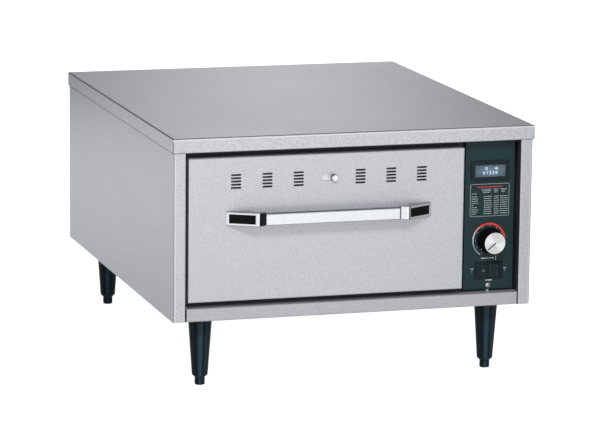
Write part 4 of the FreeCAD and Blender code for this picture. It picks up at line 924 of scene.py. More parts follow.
@dataclass
class Print:
    """Marks printed on an upright face: thin raised bars, frames and figures."""

    face: float
    thick: float = INK_OVER
    shells: list = field(default_factory=list)

    def plate(self, outline: np.ndarray, x: float, z: float) -> None:
        """Add a flat mark about (x, z): its outline, once in the face and once a little in front."""
        path = np.array([[x, self.face + INK_UNDER, z], [x, self.face - self.thick, z]])
        self.shells.append(carried(outline, path, RIGHT, UP, False))

    def bar(self, x: float, z: float, width: float, height: float) -> None:
        """Add a short bar about (x, z)."""
        self.plate(rounded(width, height, min(width, height) * 0.3, 3), x, z)

    def spoke(self, x: float, z: float, angle: float, start: float, stop: float, wide: float) -> None:
        """Add a bar that points away from a place: a strip along a straight path.

        Args:
            x: the place across.
            z: its height.
            angle: which way it points, in degrees from the right and upwards.
            start: how far from the place it starts.
            stop: how far from it it stops.
            wide: its width.
        """
        turn = math.radians(angle)
        run = np.array([math.cos(turn), 0, math.sin(turn)])
        across = np.array([-math.sin(turn), 0, math.cos(turn)])
        path = np.array([x, self.face, z]) + np.outer([start, stop], run)
        self.shells.append(carried(strip(wide, INK_UNDER, self.thick), path, across, FRONT, False))

    def frame(self, x: float, z: float, width: float, height: float, radius: float, line: float) -> None:
        """Add a rounded frame: a thin strip carried round a rounded outline.

        The strip lies along the direction from a slightly smaller outline to
        this one.

        Args:
            x: the middle across.
            z: the middle's height.
            width: of the outline.
            height: of the outline.
            radius: of its corners.
            line: the strip's width.
        """
        loop = rounded(width, height, radius, 8)
        smaller = rounded(width - 1, height - 1, max(radius - 0.5, 0.1), 8)
        away = loop - smaller
        away /= np.linalg.norm(away, axis=1, keepdims=True)
        path = np.stack([x + loop[:, 0], np.full(len(loop), self.face), z + loop[:, 1]], -1)
        side = np.stack([away[:, 0], np.zeros(len(loop)), away[:, 1]], -1)
        self.shells.append(carried(strip(line, INK_UNDER, self.thick), path, side, FRONT, True))

    def figures(self, words: str, x: float, z: float, height: float) -> None:
        """Add plain figures or a plain word, from flat text made into a mesh.

        Args:
            words: what it says.
            x: the middle across.
            z: the middle's height.
            height: of a capital letter.
        """
        curve = bpy.data.curves.new("figures", "FONT")
        curve.body = words
        curve.size = 1.0
        curve.align_x = "CENTER"
        curve.align_y = "CENTER"
        curve.resolution_u = 3
        curve.extrude = INK_OVER / 2
        holder = bpy.data.objects.new("figures", curve)
        bpy.context.scene.collection.objects.link(holder)
        bpy.context.view_layer.update()
        mesh = bpy.data.meshes.new_from_object(holder)
        flat = np.zeros(len(mesh.vertices) * 3)
        mesh.vertices.foreach_get("co", flat)
        flat = flat.reshape(-1, 3)
        size = height / CAPITAL
        depth = self.face - self.thick / 2 - flat[:, 2] * self.thick / INK_OVER
        points = np.stack([x + flat[:, 0] * size, depth, z + flat[:, 1] * size], -1)
        self.shells.append(Shell(points, [tuple(face.vertices) for face in mesh.polygons]))
        bpy.data.objects.remove(holder)
        bpy.data.curves.remove(curve)
        bpy.data.meshes.remove(mesh)

    def finished(self, name: str, finish: Finish, body: str) -> bpy.types.Object:
        """Make one object of all the marks so far, and start again with none.

        Args:
            name: the object's name.
            finish: the ink.
            body: the body it moves with.

        Returns:
            The object.
        """
        thing = made(name, joined(self.shells), finish, body)
        self.shells = []
        return thing


# ---------------------------------------------------------------------------
# Sub-assemblies
# ---------------------------------------------------------------------------

@dataclass
class SubAssembly:
    """A group of the model's nodes and the pieces added to them."""

    nodes: dict

    def wear(self, finish: Finish, *names: str) -> None:
        """Dress nodes of the model in a finish.

        Args:
            finish: what they are dressed in.
            names: the nodes.
        """
        for name in names:
            mesh = self.nodes[name].data
            mesh.materials.clear()
            mesh.materials.append(finish.material())
            LOG.info("node %s: %s", name, finish.name)

    def corners(self, name: str) -> tuple[np.ndarray, np.ndarray]:
        """Return a node's lowest and highest corner in millimetres."""
        low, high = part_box(name)
        return np.array(low) / MM, np.array(high) / MM

    def skin(self, name: str, x: float, z: float) -> tuple[np.ndarray, np.ndarray]:
        """Find where a line straight back from the front meets a node.

        Args:
            name: the node.
            x: the line's place across, in millimetres.
            z: its height.

        Returns:
            The point met in millimetres, and the surface's outward direction.
        """
        start = Vector((x * MM, -1.0, z * MM))
        hit, spot, normal, _ = self.nodes[name].ray_cast(start, Vector((0, 1, 0)))
        if not hit:
            raise ValueError(f"nothing of {name} at {x:.1f}, {z:.1f}")
        return np.array(spot) / MM, np.array(normal)

    def build(self) -> None:
        """Dress the nodes and add the pieces. Each sub-assembly has its own."""
        raise NotImplementedError


class Facing(Enum):
    """Which way a screw's head looks, as a turn of a piece made along +Z."""

    FRONT = ((1, 0, 0), (0, 0, -1), (0, 1, 0))
    BACK = ((1, 0, 0), (0, 0, 1), (0, -1, 0))

    def matrix(self) -> np.ndarray:
        """Return the turn as a 3 by 3 matrix."""
        return np.array(self.value, dtype=float)


@dataclass
class CrossHead:
    """The head of a pan-head screw with a cross recess, in millimetres.

    The fades are how far the recess takes to reach its depth, in from an arm's
    sides and from its ends.
    """

    radius: float = 3.6
    height: float = 2.0
    slot: float = 0.62
    reach: float = 2.1
    deep: float = 1.1
    side_fade: float = 0.15
    end_fade: float = 0.25
    wall_share: float = 0.38

    def shell(self, facing: Facing, x: float, y: float, z: float) -> Shell:
        """Work out the head's surface with its seat at (x, y, z).

        The dome's height is the height times the root of one less three
        quarters of the squared distance to the axis, as a share of the radius.
        Near either arm of the cross it is lower by the recess. The last rows
        go down the side and in under the head, almost to the axis.

        Args:
            facing: which way the head looks.
            x: the seat's middle.
            y: the seat's middle.
            z: the seat's middle.

        Returns:
            The surface.
        """
        radial = np.linspace(0, 0.985, 26)
        angle = np.linspace(0, 2 * math.pi, 72, endpoint=False)
        reach = radial[:, None] * self.radius
        across, along = reach * np.cos(angle), reach * np.sin(angle)
        dome = self.height * np.sqrt(1 - radial[:, None] ** 2 * 0.75) * np.ones_like(across)
        thin = np.minimum(np.abs(across), np.abs(along))
        far = np.maximum(np.abs(across), np.abs(along))
        beside = np.clip((self.slot - thin) / self.side_fade, 0, 1)
        inside = beside * np.clip((self.reach - far) / self.end_fade, 0, 1)
        top = np.stack([across, along, dome - self.deep * inside], -1)
        ring = np.stack([np.cos(angle) * self.radius, np.sin(angle) * self.radius, np.zeros_like(angle)], -1)
        wall = [ring + [0, 0, self.height * self.wall_share], ring, ring * 0.02]
        shell = grid(np.concatenate([top, np.stack(wall)]), False, True)
        return shell.turned(facing.matrix()).shifted(x, y, z)


@dataclass
class Cabinet(SubAssembly):
    """The folded sheets of the cabinet, its legs, and what is on its back.

    Sizes are in millimetres. A band is how far a painted shade or highlight
    reaches from its bend, edge or joint, and its factor.
    """

    # Bands of painted shade along bends and joints, and painted highlights (the glints) on edges.
    top_bend: Band = (1.5, 0.12)
    top_corner: Band = (1.3, 0.25)
    rim_glint: Band = (1.1, 1.25)
    rim_glint_drop: float = 2.6
    rim_edge: Band = (0.9, 0.45)
    rim_joint: Band = (1.4, 0.55)
    side_inside: Band = (0.8, 0.12)
    side_joint: Band = (2.4, 0.35)
    post_bend: Band = (1.3, 0.15)
    post_glint: Band = (1.1, 1.22)
    post_glint_in: float = 2.5
    post_joint: Band = (1.1, 0.55)
    rail_glint: Band = (1.0, 1.22)
    rail_joint: Band = (1.4, 0.12)
    gland_bore: float = 5.0
    gland_nut_over: float = 3.0
    gland_edge: float = 0.5
    gland_ribs: int = 12
    gland_rib_deep: float = 0.9
    cover_screw_in: float = 40.0
    side_screw_drop: float = 25.0

    def build(self) -> None:
        """Dress the sheets, the legs and the back."""
        self.sheets()
        self.wear(SHADED_FRAME_STEEL, "face_frame")
        self.wear(PLAIN, "back_panel", "bottom_pan", "divider_wall", "leg_nuts")
        for name in (name for name in self.nodes if name.endswith(("_leg", "_foot"))):
            middle = sum(self.corners(name)) / 2 * MM
            self.wear(replace(LEG_BLACK, name=f"leg_nylon_{name}", centre=tuple(middle.tolist())), name)
        self.wear(RUBBER, "drawer_bumpers")
        self.wear(SCREW_METAL, "rear_screws")
        self.gland()
        self.rear_heads()

    def gland(self) -> None:
        """Make the cord gland with a ribbed domed nut, as a profile turned about its axis."""
        low, high = self.corners("cord_gland")
        wall = self.corners("back_panel")[1][1]
        big, bore, edge = (high[0] - low[0]) / 2, self.gland_bore, self.gland_edge
        thread, long, inner = big - self.gland_nut_over, high[1] - wall, low[1] - wall
        # A row is a radius, a height off the back panel, and a share of the ribs' depth.
        rows = [(bore, inner, 0), (thread, inner, 0), (thread, 0.0, 0), (big - 0.6, 0.0, 0),
                (big, 0.6, 1), (big, long * 0.50, 1), (big - 0.3, long * 0.56, 1),
                (big - 1.2, long * 0.70, 0.6), (thread + 0.8, long * 0.88, 0),
                (thread, long - edge, 0), (thread - edge, long, 0),
                (bore + edge, long, 0), (bore, long - edge, 0)]
        nut = lathed(np.array(rows, dtype=float), self.gland_ribs * 10, self.gland_ribs, self.gland_rib_deep)
        middle = (low + high) / 2
        nut = nut.turned(Facing.BACK.matrix()).shifted(middle[0], wall, middle[2])
        piece = made("ribbed_cord_gland", nut, DULL_BLACK, "cabinet")
        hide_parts("cord_gland")

    def sheets(self) -> None:
        """Dress the outer sheets, with painted shade along their bends and joints and painted highlights
        along their front edges.
        """
        (left, front, rim), (right, rear, top) = self.corners("top_cover")
        # Painted shade along the cover's bends, corners and lower edges, and a painted highlight along its
        # front rim.
        bends = [Seam((None, y, top), *self.top_bend) for y in (front, rear)]
        bends += [Seam((x, None, top), *self.top_bend) for x in (left, right)]
        bends += [Seam((x, y, None), *self.top_corner) for x in (left, right) for y in (front, rear)]
        bends.append(Seam((None, front, top - self.rim_glint_drop), *self.rim_glint))
        bends.append(Seam((None, front, rim), *self.rim_edge))
        bends += [Seam((x, None, rim), *self.rim_joint) for x in (left, right)]
        self.wear(replace(TOP_STEEL, seams=tuple(bends)), "top_cover")
        self.side("left", 0, rim)
        self.side("right", 1, rim)
        # The rail: a painted highlight on its upper edge, and painted shade in the joints at its ends.
        (left, front, _), (right, _, top) = self.corners("front_rail")
        joints = tuple(Seam((x, front, None), *self.rail_joint) for x in (left, right))
        glint = Seam((None, front, top), *self.rail_glint)
        self.wear(replace(SHADED_RAIL_STEEL, seams=(glint, *joints)), "front_rail")

    def side(self, hand: str, outer: int, rim: float) -> None:
        """Dress a side panel, with painted shade on its inside, along the bend of its front post and under
        the cover, and a painted highlight on its post.

        Args:
            hand: left or right.
            outer: which of the panel's two corners is on the outside, 0 or 1.
            rim: the height of the cover's lower edge.
        """
        box = self.corners(f"{hand}_side_panel")
        outside, inside, front = box[outer][0], box[1 - outer][0], box[0][1]
        inward = math.copysign(self.post_glint_in, inside - outside)
        seams = (Seam((inside, None, None), *self.side_inside),
                 Seam((outside, None, rim), *self.side_joint),
                 Seam((outside, front, None), *self.post_bend),
                 Seam((outside + inward, front, None), *self.post_glint),
                 Seam((None, front, rim), *self.post_joint))
        self.wear(replace(SIDE_STEEL, name=f"{SIDE_STEEL.name}_{hand}", seams=seams), f"{hand}_side_panel")

    def rear_heads(self) -> None:
        """Give the screws on the back and the cover's rear rim cross-recessed heads."""
        low, high = self.corners("rear_screws")
        cover = self.corners("top_cover")
        back = self.corners("back_panel")[1][1]
        head = CrossHead()
        columns = (low[0] + head.radius, high[0] - head.radius)
        levels = (low[2] + head.radius, cover[0][2] - self.side_screw_drop)
        shells = [head.shell(Facing.BACK, x, back, z) for x in columns for z in levels]
        rim = (cover[0][2] + cover[1][2]) / 2
        for x in (cover[0][0] + self.cover_screw_in, 0.0, cover[1][0] - self.cover_screw_in):
            shells.append(head.shell(Facing.BACK, x, cover[1][1], rim))
        heads = made("rear_screw_heads", joined(shells), SCREW_METAL, "cabinet")
        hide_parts("rear_screws")


@dataclass
class HotBox(SubAssembly):
    """The liner, its insulation, the heating element and the thermostat's bulb."""

    def build(self) -> None:
        """Dress the inner pieces."""
        self.wear(PLAIN, "cavity_liner", "element_clips")
        self.wear(GLASS_WOOL, "insulation")
        self.wear(ROD, "heating_element")
        self.wear(SCREW_METAL, "sensor_bulb")


@dataclass
class Slides(SubAssembly):
    """The drawer's channels and their rollers."""

    def build(self) -> None:
        """Dress the channels, the axles and the rollers."""
        self.wear(PLAIN, *(name for name in self.nodes if name.endswith("_slide")))
        self.wear(SCREW_METAL, "front_roller_axles", "rear_roller_axles")
        self.wear(NYLON, *(name for name in self.nodes if name.endswith("_roller")))


@dataclass
class Drawer(SubAssembly):
    """The drawer's front and pan, the vent shutter and the handle.

    Sizes are in millimetres. A band is how far a painted shade or highlight
    reaches from its edge, and its factor.
    """

    # Painted shade on the walls of the front's slots, and painted highlights on its edges.
    slot_wall_in: float = 0.9
    slot_wall: Band = (0.85, 0.08)
    front_edge: Band = (1.5, 1.6)
    vents_aside: float = 2.0
    vents_drop: float = 34.5
    # Painted shade on the shutter's slot walls and down the stud's side.
    shutter_cut: float = 0.08
    stud_face: float = 0.8
    stud_rings: tuple[float, float] = (1.2, 3.6)
    stud_dark: float = 0.04
    # Painted shade on the brackets' top and bottom faces, and along the bar's top and foot.
    bracket_rim: Band = (1.0, 0.25)
    bar_top: tuple[Band, Band] = ((2.8, 0.50), (1.3, 0.16))
    bar_foot: Band = (1.0, 0.30)
    cap_free: tuple[float, float] = (1.0, 0.6)
    cap_corner: float = 0.8
    cap_sunk: float = 0.2
    cap_thick: float = 0.25

    def build(self) -> None:
        """Dress the drawer, the shutter and the handle."""
        self.front()
        self.wear(PLAIN, "drawer_inner_panel", "pan_carrier", "shutter_guides")
        self.shutter()
        self.wear(GLASS_WOOL, "drawer_insulation")
        self.wear(PAN_STEEL, "food_pan")
        self.stud()
        self.wear(INLAY_BLACK, "handle_inlays")
        self.wear(SCREW_METAL, "handle_screws")
        self.handle()

    def front(self) -> None:
        """Dress the front, with painted highlights on its edges, and painted shade on the walls of its slots
        and round each slot.
        """
        (left, front, bottom), (right, _, top) = self.corners("drawer_front")
        edges = [Seam((None, front + self.slot_wall_in, None), *self.slot_wall)]
        edges += [Seam((x, front, None), *self.front_edge) for x in (left, right)]
        edges += [Seam((None, front, z), *self.front_edge) for z in (bottom, top)]
        vents = ((left + right) / 2 + self.vents_aside, top - self.vents_drop)
        self.wear(replace(DRAWER_STEEL, seams=tuple(edges), middle=vents), "drawer_front")

    def shutter(self) -> None:
        """Dress the vent shutter with painted shade in the middle of its thickness, on the walls of its
        slots.
        """
        low, high = self.corners("vent_shutter")
        half = (high[1] - low[1]) / 2
        cut = Seam((None, (low[1] + high[1]) / 2, None), half, self.shutter_cut)
        self.wear(replace(SHUTTER_STEEL, seams=(cut,)), "vent_shutter")

    def stud(self) -> None:
        """Dress the shutter's knob, bright on its face, with painted shade down its side."""
        face = self.corners("vent_knob")[0][1] + self.stud_face
        rings = tuple(Seam((None, face + reach, None), reach, self.stud_dark) for reach in self.stud_rings)
        self.wear(replace(STUD_CHROME, seams=rings), "vent_knob")

    def handle(self) -> None:
        """Dress the handle, with painted shade on the brackets' top and bottom and along the bar's top and
        foot, and set a thin black cap on each end of its bar.
        """
        low, high = self.corners("left_handle_bracket")
        rims = tuple(Seam((None, None, z), *self.bracket_rim) for z in (low[2], high[2]))
        self.wear(replace(BRACKET_CHROME, seams=rims), "left_handle_bracket", "right_handle_bracket")
        low, high = self.corners("handle_bar")
        edges = [Seam((None, None, high[2]), *band) for band in self.bar_top]
        edges.append(Seam((None, None, low[2]), *self.bar_foot))
        self.wear(replace(BAR_STEEL, seams=tuple(edges)), "handle_bar")
        _, y, z = (low + high) / 2
        depth, tall = high[1] - low[1] - self.cap_free[0], high[2] - low[2] - self.cap_free[1]
        outline = rounded(depth, tall, self.cap_corner)
        for name, end, away in (("left", low[0], -1), ("right", high[0], 1)):
            path = np.array([[end - away * self.cap_sunk, y, z], [end + away * self.cap_thick, y, z]])
            cap = carried(outline, path, FRONT, UP, False)
            made(f"{name}_bar_cap", cap, DULL_BLACK, "drawer")


@dataclass(frozen=True)
class Line:
    """A printed line of small marks: where it starts and stops, its height on the panel, and its size."""

    left: float
    right: float
    level: float
    size: float


@dataclass(frozen=True)
class ChartPlan:
    """The settings chart's plan in millimetres, measured from its middle.

    Over its rows it has a heading, three titles of several lines each, and a
    title of one line over the names that the rows start with. Each row is a
    name and the entries of three columns.
    """

    middle: tuple[float, float] = (209.1, 256.3)
    size: tuple[float, float] = (59.4, 47.4)
    corner: float = 2.2
    border: float = 0.55
    heading: Line = Line(-19.5, 19.5, 19.5, 1.7)
    titles: tuple[Line, ...] = (Line(-12.4, 2.8, 15.8, 0.95), Line(5.6, 13.7, 15.8, 0.95),
                                Line(16.6, 26.5, 15.8, 0.95))
    title_lines: int = 3
    title_step: float = 2.2
    first_title: Line = Line(-27.6, -19.0, 9.8, 0.95)
    first_row: float = 5.4
    row_step: float = 3.17
    row_size: float = 1.05
    names_left: float = -27.6
    names_long: tuple[float, ...] = (9.0, 9.6, 10.6, 9.8, 4.2, 9.2, 10.4, 9.9, 6.8)
    columns: tuple[tuple[float, float], ...] = ((-8.6, 3.8), (6.7, 14.0), (16.2, 28.0))


@dataclass
class ControlColumn(SubAssembly):
    """The enamelled panel with its print, display, dial and switch.

    Sizes and places are in millimetres and angles in degrees. Places of marks
    round the switch and under the dial are across and up in the model's frame,
    those on the display are from its middle, and those of the rocker's painted
    shade and highlights from the rocker's middle.
    """

    face: float = field(init=False, default=0.0)

    # Small print: the lengths of its words, and the least that is left for one more.
    plan: ChartPlan = ChartPlan()
    word_lengths: tuple[float, ...] = (2.3, 1.4, 3.1, 1.9, 2.7, 1.2, 2.0, 3.4, 1.6, 2.5)
    word_gap: float = 0.7
    least_left: float = 0.8

    # The display: its figures, each with its place across.
    film: float = 0.05
    small_figures: tuple[tuple[str, float], ...] = (("72", -6.4), ("45", 9.4))
    small_figure_up: float = 3.4
    small_figure_high: float = 3.6
    large_figures: str = "0 1 2 3 0"
    large_figure_up: float = -3.0
    large_figure_high: float = 4.4

    # The dial: its ring, which grows from a share of its length on, and its figures.
    ring_radius: float = 24.4
    ring_aside: float = -0.8
    ring_start: float = 238.0
    ring_stop: float = -62.0
    ring_thin: float = 0.32
    ring_growth: float = 1.10
    growth_from: float = 0.12
    growth_over: float = 0.25
    dial_figures: int = 11
    dial_figure_radius: float = 20.9
    dial_figure_high: float = 2.0

    # Words and bars: each word has its place and height, each bar its place, width and height.
    under_dial: Line = Line(197.8, 217.9, 170.2, 1.5)
    under_dial_mark: tuple[float, ...] = (220.4, 169.8, 0.7, 6.3)
    switch_words: tuple[tuple[str, float, float, float], ...] = (
        ("OFF", 184.0, 154.4, 2.0), ("0", 183.8, 150.8, 1.8), ("ON", 234.5, 154.5, 2.0))
    on_stroke: tuple[float, ...] = (234.4, 151.4, 0.5, 2.0)
    under_switch: Line = Line(205.1, 215.7, 137.4, 1.4)

    # The knob's pointer line, and the mark down its skirt at the same angle.
    pointer_angle: float = 220.0
    pointer_run: tuple[float, float] = (-1.0, 14.6)
    pointer_wide: float = 1.7
    skirt_mark_radii: tuple[float, ...] = (17.6, 18.2, 18.8)
    skirt_mark_wide: float = 1.2

    # The rocker: its mark, and the painted shade in its valley and the painted highlights on its slope, its
    # end and its top.
    rocker_mark: tuple[float, float] = (201.1, 152.1)
    rocker_mark_radius: float = 1.3
    rocker_mark_line: float = 0.5
    fold_aside: float = 0.6
    slope_aside: float = 3.0
    fold: Band = (1.3, 0.05)
    slope: Band = (2.4, 2.2)
    rocker_end: Band = (2.6, 3.2)
    rocker_top: Band = (1.2, 3.0)

    def build(self) -> None:
        """Dress the panel's pieces and print its marks."""
        self.wear(PANEL_PAINT, "control_panel")
        self.wear(BEZEL_BLACK, "display_bezel")
        self.wear(GREEN_BOARD, "display_module")
        self.wear(PALE_PLASTIC, "thermostat_body", "terminal_block")
        self.wear(SCREW_METAL, "thermostat_shaft", "panel_screw")
        self.wear(SWITCH_BLACK, "switch_housing")
        self.wear(KNOB_BLACK, "knob_body")
        self.face = self.corners("display_bezel")[1][1]
        self.display()
        self.chart()
        self.dial()
        self.knob()
        self.switch()
        self.panel_screw_head()

    def dashes(self, sheet: Print, line: Line, first: int, x: float = 0.0, z: float = 0.0) -> None:
        """Fill a line with short bars of uneven lengths, as small print reads from afar.

        Args:
            sheet: the print that they are added to.
            line: where they go.
            first: which of the words' lengths comes first.
            x: how far across the line's own zero is.
            z: how far up it is.
        """
        along, stop, number = x + line.left, x + line.right, first
        while along < stop - self.least_left:
            wide = min(self.word_lengths[number % len(self.word_lengths)], stop - along)
            sheet.bar(along + wide / 2, z + line.level, wide, line.size)
            along += wide + self.word_gap
            number += 1

    def display(self) -> None:
        """Light the display's window and set figures on it."""
        low, high = self.corners("display_window")
        middle = (low + high) / 2
        self.wear(replace(DISPLAY_GLOW, centre=tuple(middle * MM)), "display_window")
        sheet = Print(low[1], self.film)
        x, z = middle[0], middle[2]
        for figures, aside in self.small_figures:
            sheet.figures(figures, x + aside, z + self.small_figure_up, self.small_figure_high)
        sheet.figures(self.large_figures, x, z + self.large_figure_up, self.large_figure_high)
        sheet.finished("display_figures", LIT_CELLS, "cabinet")

    def chart(self) -> None:
        """Print the settings chart as a frame, a red heading and rows of small marks."""
        plan = self.plan
        x, z = plan.middle
        sheet = Print(self.face)
        sheet.frame(x, z, *plan.size, plan.corner, plan.border)
        sheet.finished("chart_frame", GREY_INK, "cabinet")
        self.dashes(sheet, plan.heading, 0, x, z)
        sheet.finished("chart_heading", RED_INK, "cabinet")
        for column, title in enumerate(plan.titles):
            for line in range(plan.title_lines):
                level = title.level - plan.title_step * line
                shorter = replace(title, left=title.left + line, right=title.right - line, level=level)
                self.dashes(sheet, shorter, column + line, x, z)
        self.dashes(sheet, plan.first_title, 4, x, z)
        for row, long in enumerate(plan.names_long):
            level = plan.first_row - plan.row_step * row
            name = Line(plan.names_left, plan.names_left + long, level, plan.row_size)
            self.dashes(sheet, name, row, x, z)
            for column, (left, right) in enumerate(plan.columns):
                self.dashes(sheet, Line(left, right, level, plan.row_size), 2 * row + column, x, z)
        sheet.finished("chart_rows", GREY_INK, "cabinet")

    def dial(self) -> None:
        """Print the dial's ring and figures, and the words round the switch."""
        low, high = self.corners("knob_body")
        x, z = (low[0] + high[0]) / 2, (low[2] + high[2]) / 2
        self.ring(x + self.ring_aside, z)
        sheet = Print(self.face)
        angles = np.linspace(self.ring_start, self.ring_stop, self.dial_figures)
        for number, turn in enumerate(np.radians(angles).tolist()):
            aside = self.ring_aside / 2 + self.dial_figure_radius * math.cos(turn)
            above = self.dial_figure_radius * math.sin(turn)
            sheet.figures(str(number), x + aside, z + above, self.dial_figure_high)
        self.dashes(sheet, self.under_dial, 1)
        sheet.bar(*self.under_dial_mark)
        for word in self.switch_words:
            sheet.figures(*word)
        sheet.bar(*self.on_stroke)
        self.dashes(sheet, self.under_switch, 5)
        sheet.finished("panel_marks", WHITE_INK, "cabinet")

    def ring(self, x: float, z: float) -> None:
        """Print the dial's ring.

        It runs clockwise on a circle, and its width grows from a hairline at
        the low end to a broad band at the hot end. Its own map holds how far
        along the arc each point is, for the colour.

        Args:
            x: its middle across.
            z: its middle's height.
        """
        share = np.linspace(0, 1, 120)
        turn = np.radians(self.ring_start + (self.ring_stop - self.ring_start) * share)
        away = np.stack([np.cos(turn), np.zeros_like(turn), np.sin(turn)], -1)
        path = np.array([x, self.face, z]) + away * self.ring_radius
        growth = np.clip((share - self.growth_from) / self.growth_over, 0, 1)
        half = (self.ring_thin + self.ring_growth * growth)[:, None]
        depths = np.broadcast_to([-INK_UNDER, -INK_UNDER, INK_OVER, INK_OVER], (len(share), 4))
        profile = np.stack([np.concatenate([-half, half, half, -half], 1), depths], -1)
        shell = carried(profile, path, away, FRONT, False)
        made("dial_ring", shell, RING_INK, "cabinet", along=np.repeat(share, 4))

    def knob(self) -> None:
        """Dress the knob's cap as spun metal, and lay a pointer line on it and a mark on its skirt."""
        low, high = self.corners("knob_cap")
        middle = (low + high) / 2
        self.wear(replace(SPUN_METAL, centre=tuple(middle * MM)), "knob_cap")
        sheet = Print(low[1], self.film)
        sheet.spoke(middle[0], middle[2], self.pointer_angle, *self.pointer_run, self.pointer_wide)
        sheet.finished("knob_pointer", INLAY_BLACK, "thermostat_knob")
        turn = math.radians(self.pointer_angle)
        spots = [self.skin("knob_body", middle[0] + math.cos(turn) * r, middle[2] + math.sin(turn) * r)
                 for r in self.skirt_mark_radii]
        path = np.array([spot + normal * 0.02 for spot, normal in spots])
        along = path[-1] - path[0]
        outward = spots[0][1]
        side = np.cross(outward, along / np.linalg.norm(along))
        profile = strip(self.skirt_mark_wide, under=0.04, over=0.06)
        mark = carried(profile, path, side, outward, False)
        made("knob_skirt_mark", mark, WHITE_INK, "thermostat_knob")

    def switch(self) -> None:
        """Paint shade in the rocker's valley and highlights on its slope, its end and its top, and lay the
        ring of its off end on the slope under it.
        """
        (left, _, _), (right, _, high) = self.corners("power_rocker")
        middle = (left + right) / 2
        # Painted shade in the valley, and painted highlights on the slope, the right end and the top.
        folds = (Seam((middle - self.fold_aside, None, None), *self.fold),
                 Seam((right, None, None), *self.rocker_end),
                 Seam((middle + self.slope_aside, None, None), *self.slope),
                 Seam((None, None, high), *self.rocker_top))
        self.wear(replace(ROCKER_BLACK, seams=folds), "power_rocker")
        spot, normal = self.skin("power_rocker", *self.rocker_mark)
        ring = self.lying_ring(spot, normal)
        made("rocker_mark", ring, ROCKER_INK, "power_rocker")

    def lying_ring(self, spot: np.ndarray, normal: np.ndarray) -> Shell:
        """Return a thin ring that lies on a slope.

        Its path is a circle in the plane of the slope, and its profile a flat
        strip along the radius and the slope's outward direction.

        Args:
            spot: its middle.
            normal: the slope's outward direction.

        Returns:
            The surface.
        """
        across = np.cross(UP, normal)
        across /= np.linalg.norm(across)
        upward = np.cross(normal, across)
        angle = np.linspace(0, 2 * math.pi, 40, endpoint=False)[:, None]
        away = across * np.cos(angle) + upward * np.sin(angle)
        path = spot + away * self.rocker_mark_radius
        profile = strip(self.rocker_mark_line, under=0.03, over=0.06)
        return carried(profile, path, away, normal, True)

    def panel_screw_head(self) -> None:
        """Give the panel's screw a cross-recessed head."""
        low, high = self.corners("panel_screw")
        head = CrossHead()
        shell = head.shell(Facing.FRONT, (low[0] + high[0]) / 2, self.face, (low[2] + high[2]) / 2)
        piece = made("panel_screw_head", shell, SCREW_METAL, "cabinet")
        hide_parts("panel_screw")


# ---------------------------------------------------------------------------
# Studio
# ---------------------------------------------------------------------------

# The corners of a square about its middle.
SQUARE = ((-1, -1), (1, -1), (1, 1), (-1, 1))


@dataclass(frozen=True)
class Pool:
    """A soft round patch of light: its middle in metres, its reach, and how bright it is inside."""

    middle: tuple[float, float, float]
    reach: tuple[float, float, float]
    level: float


@dataclass(frozen=True)
class Card:
    """A card beside the set that only gloss sees: a dull level with pools of light on it."""

    name: str
    middle: tuple[float, float, float]
    across: tuple[float, float, float]
    upward: tuple[float, float, float]
    dull: float
    pools: tuple[Pool, ...] = ()


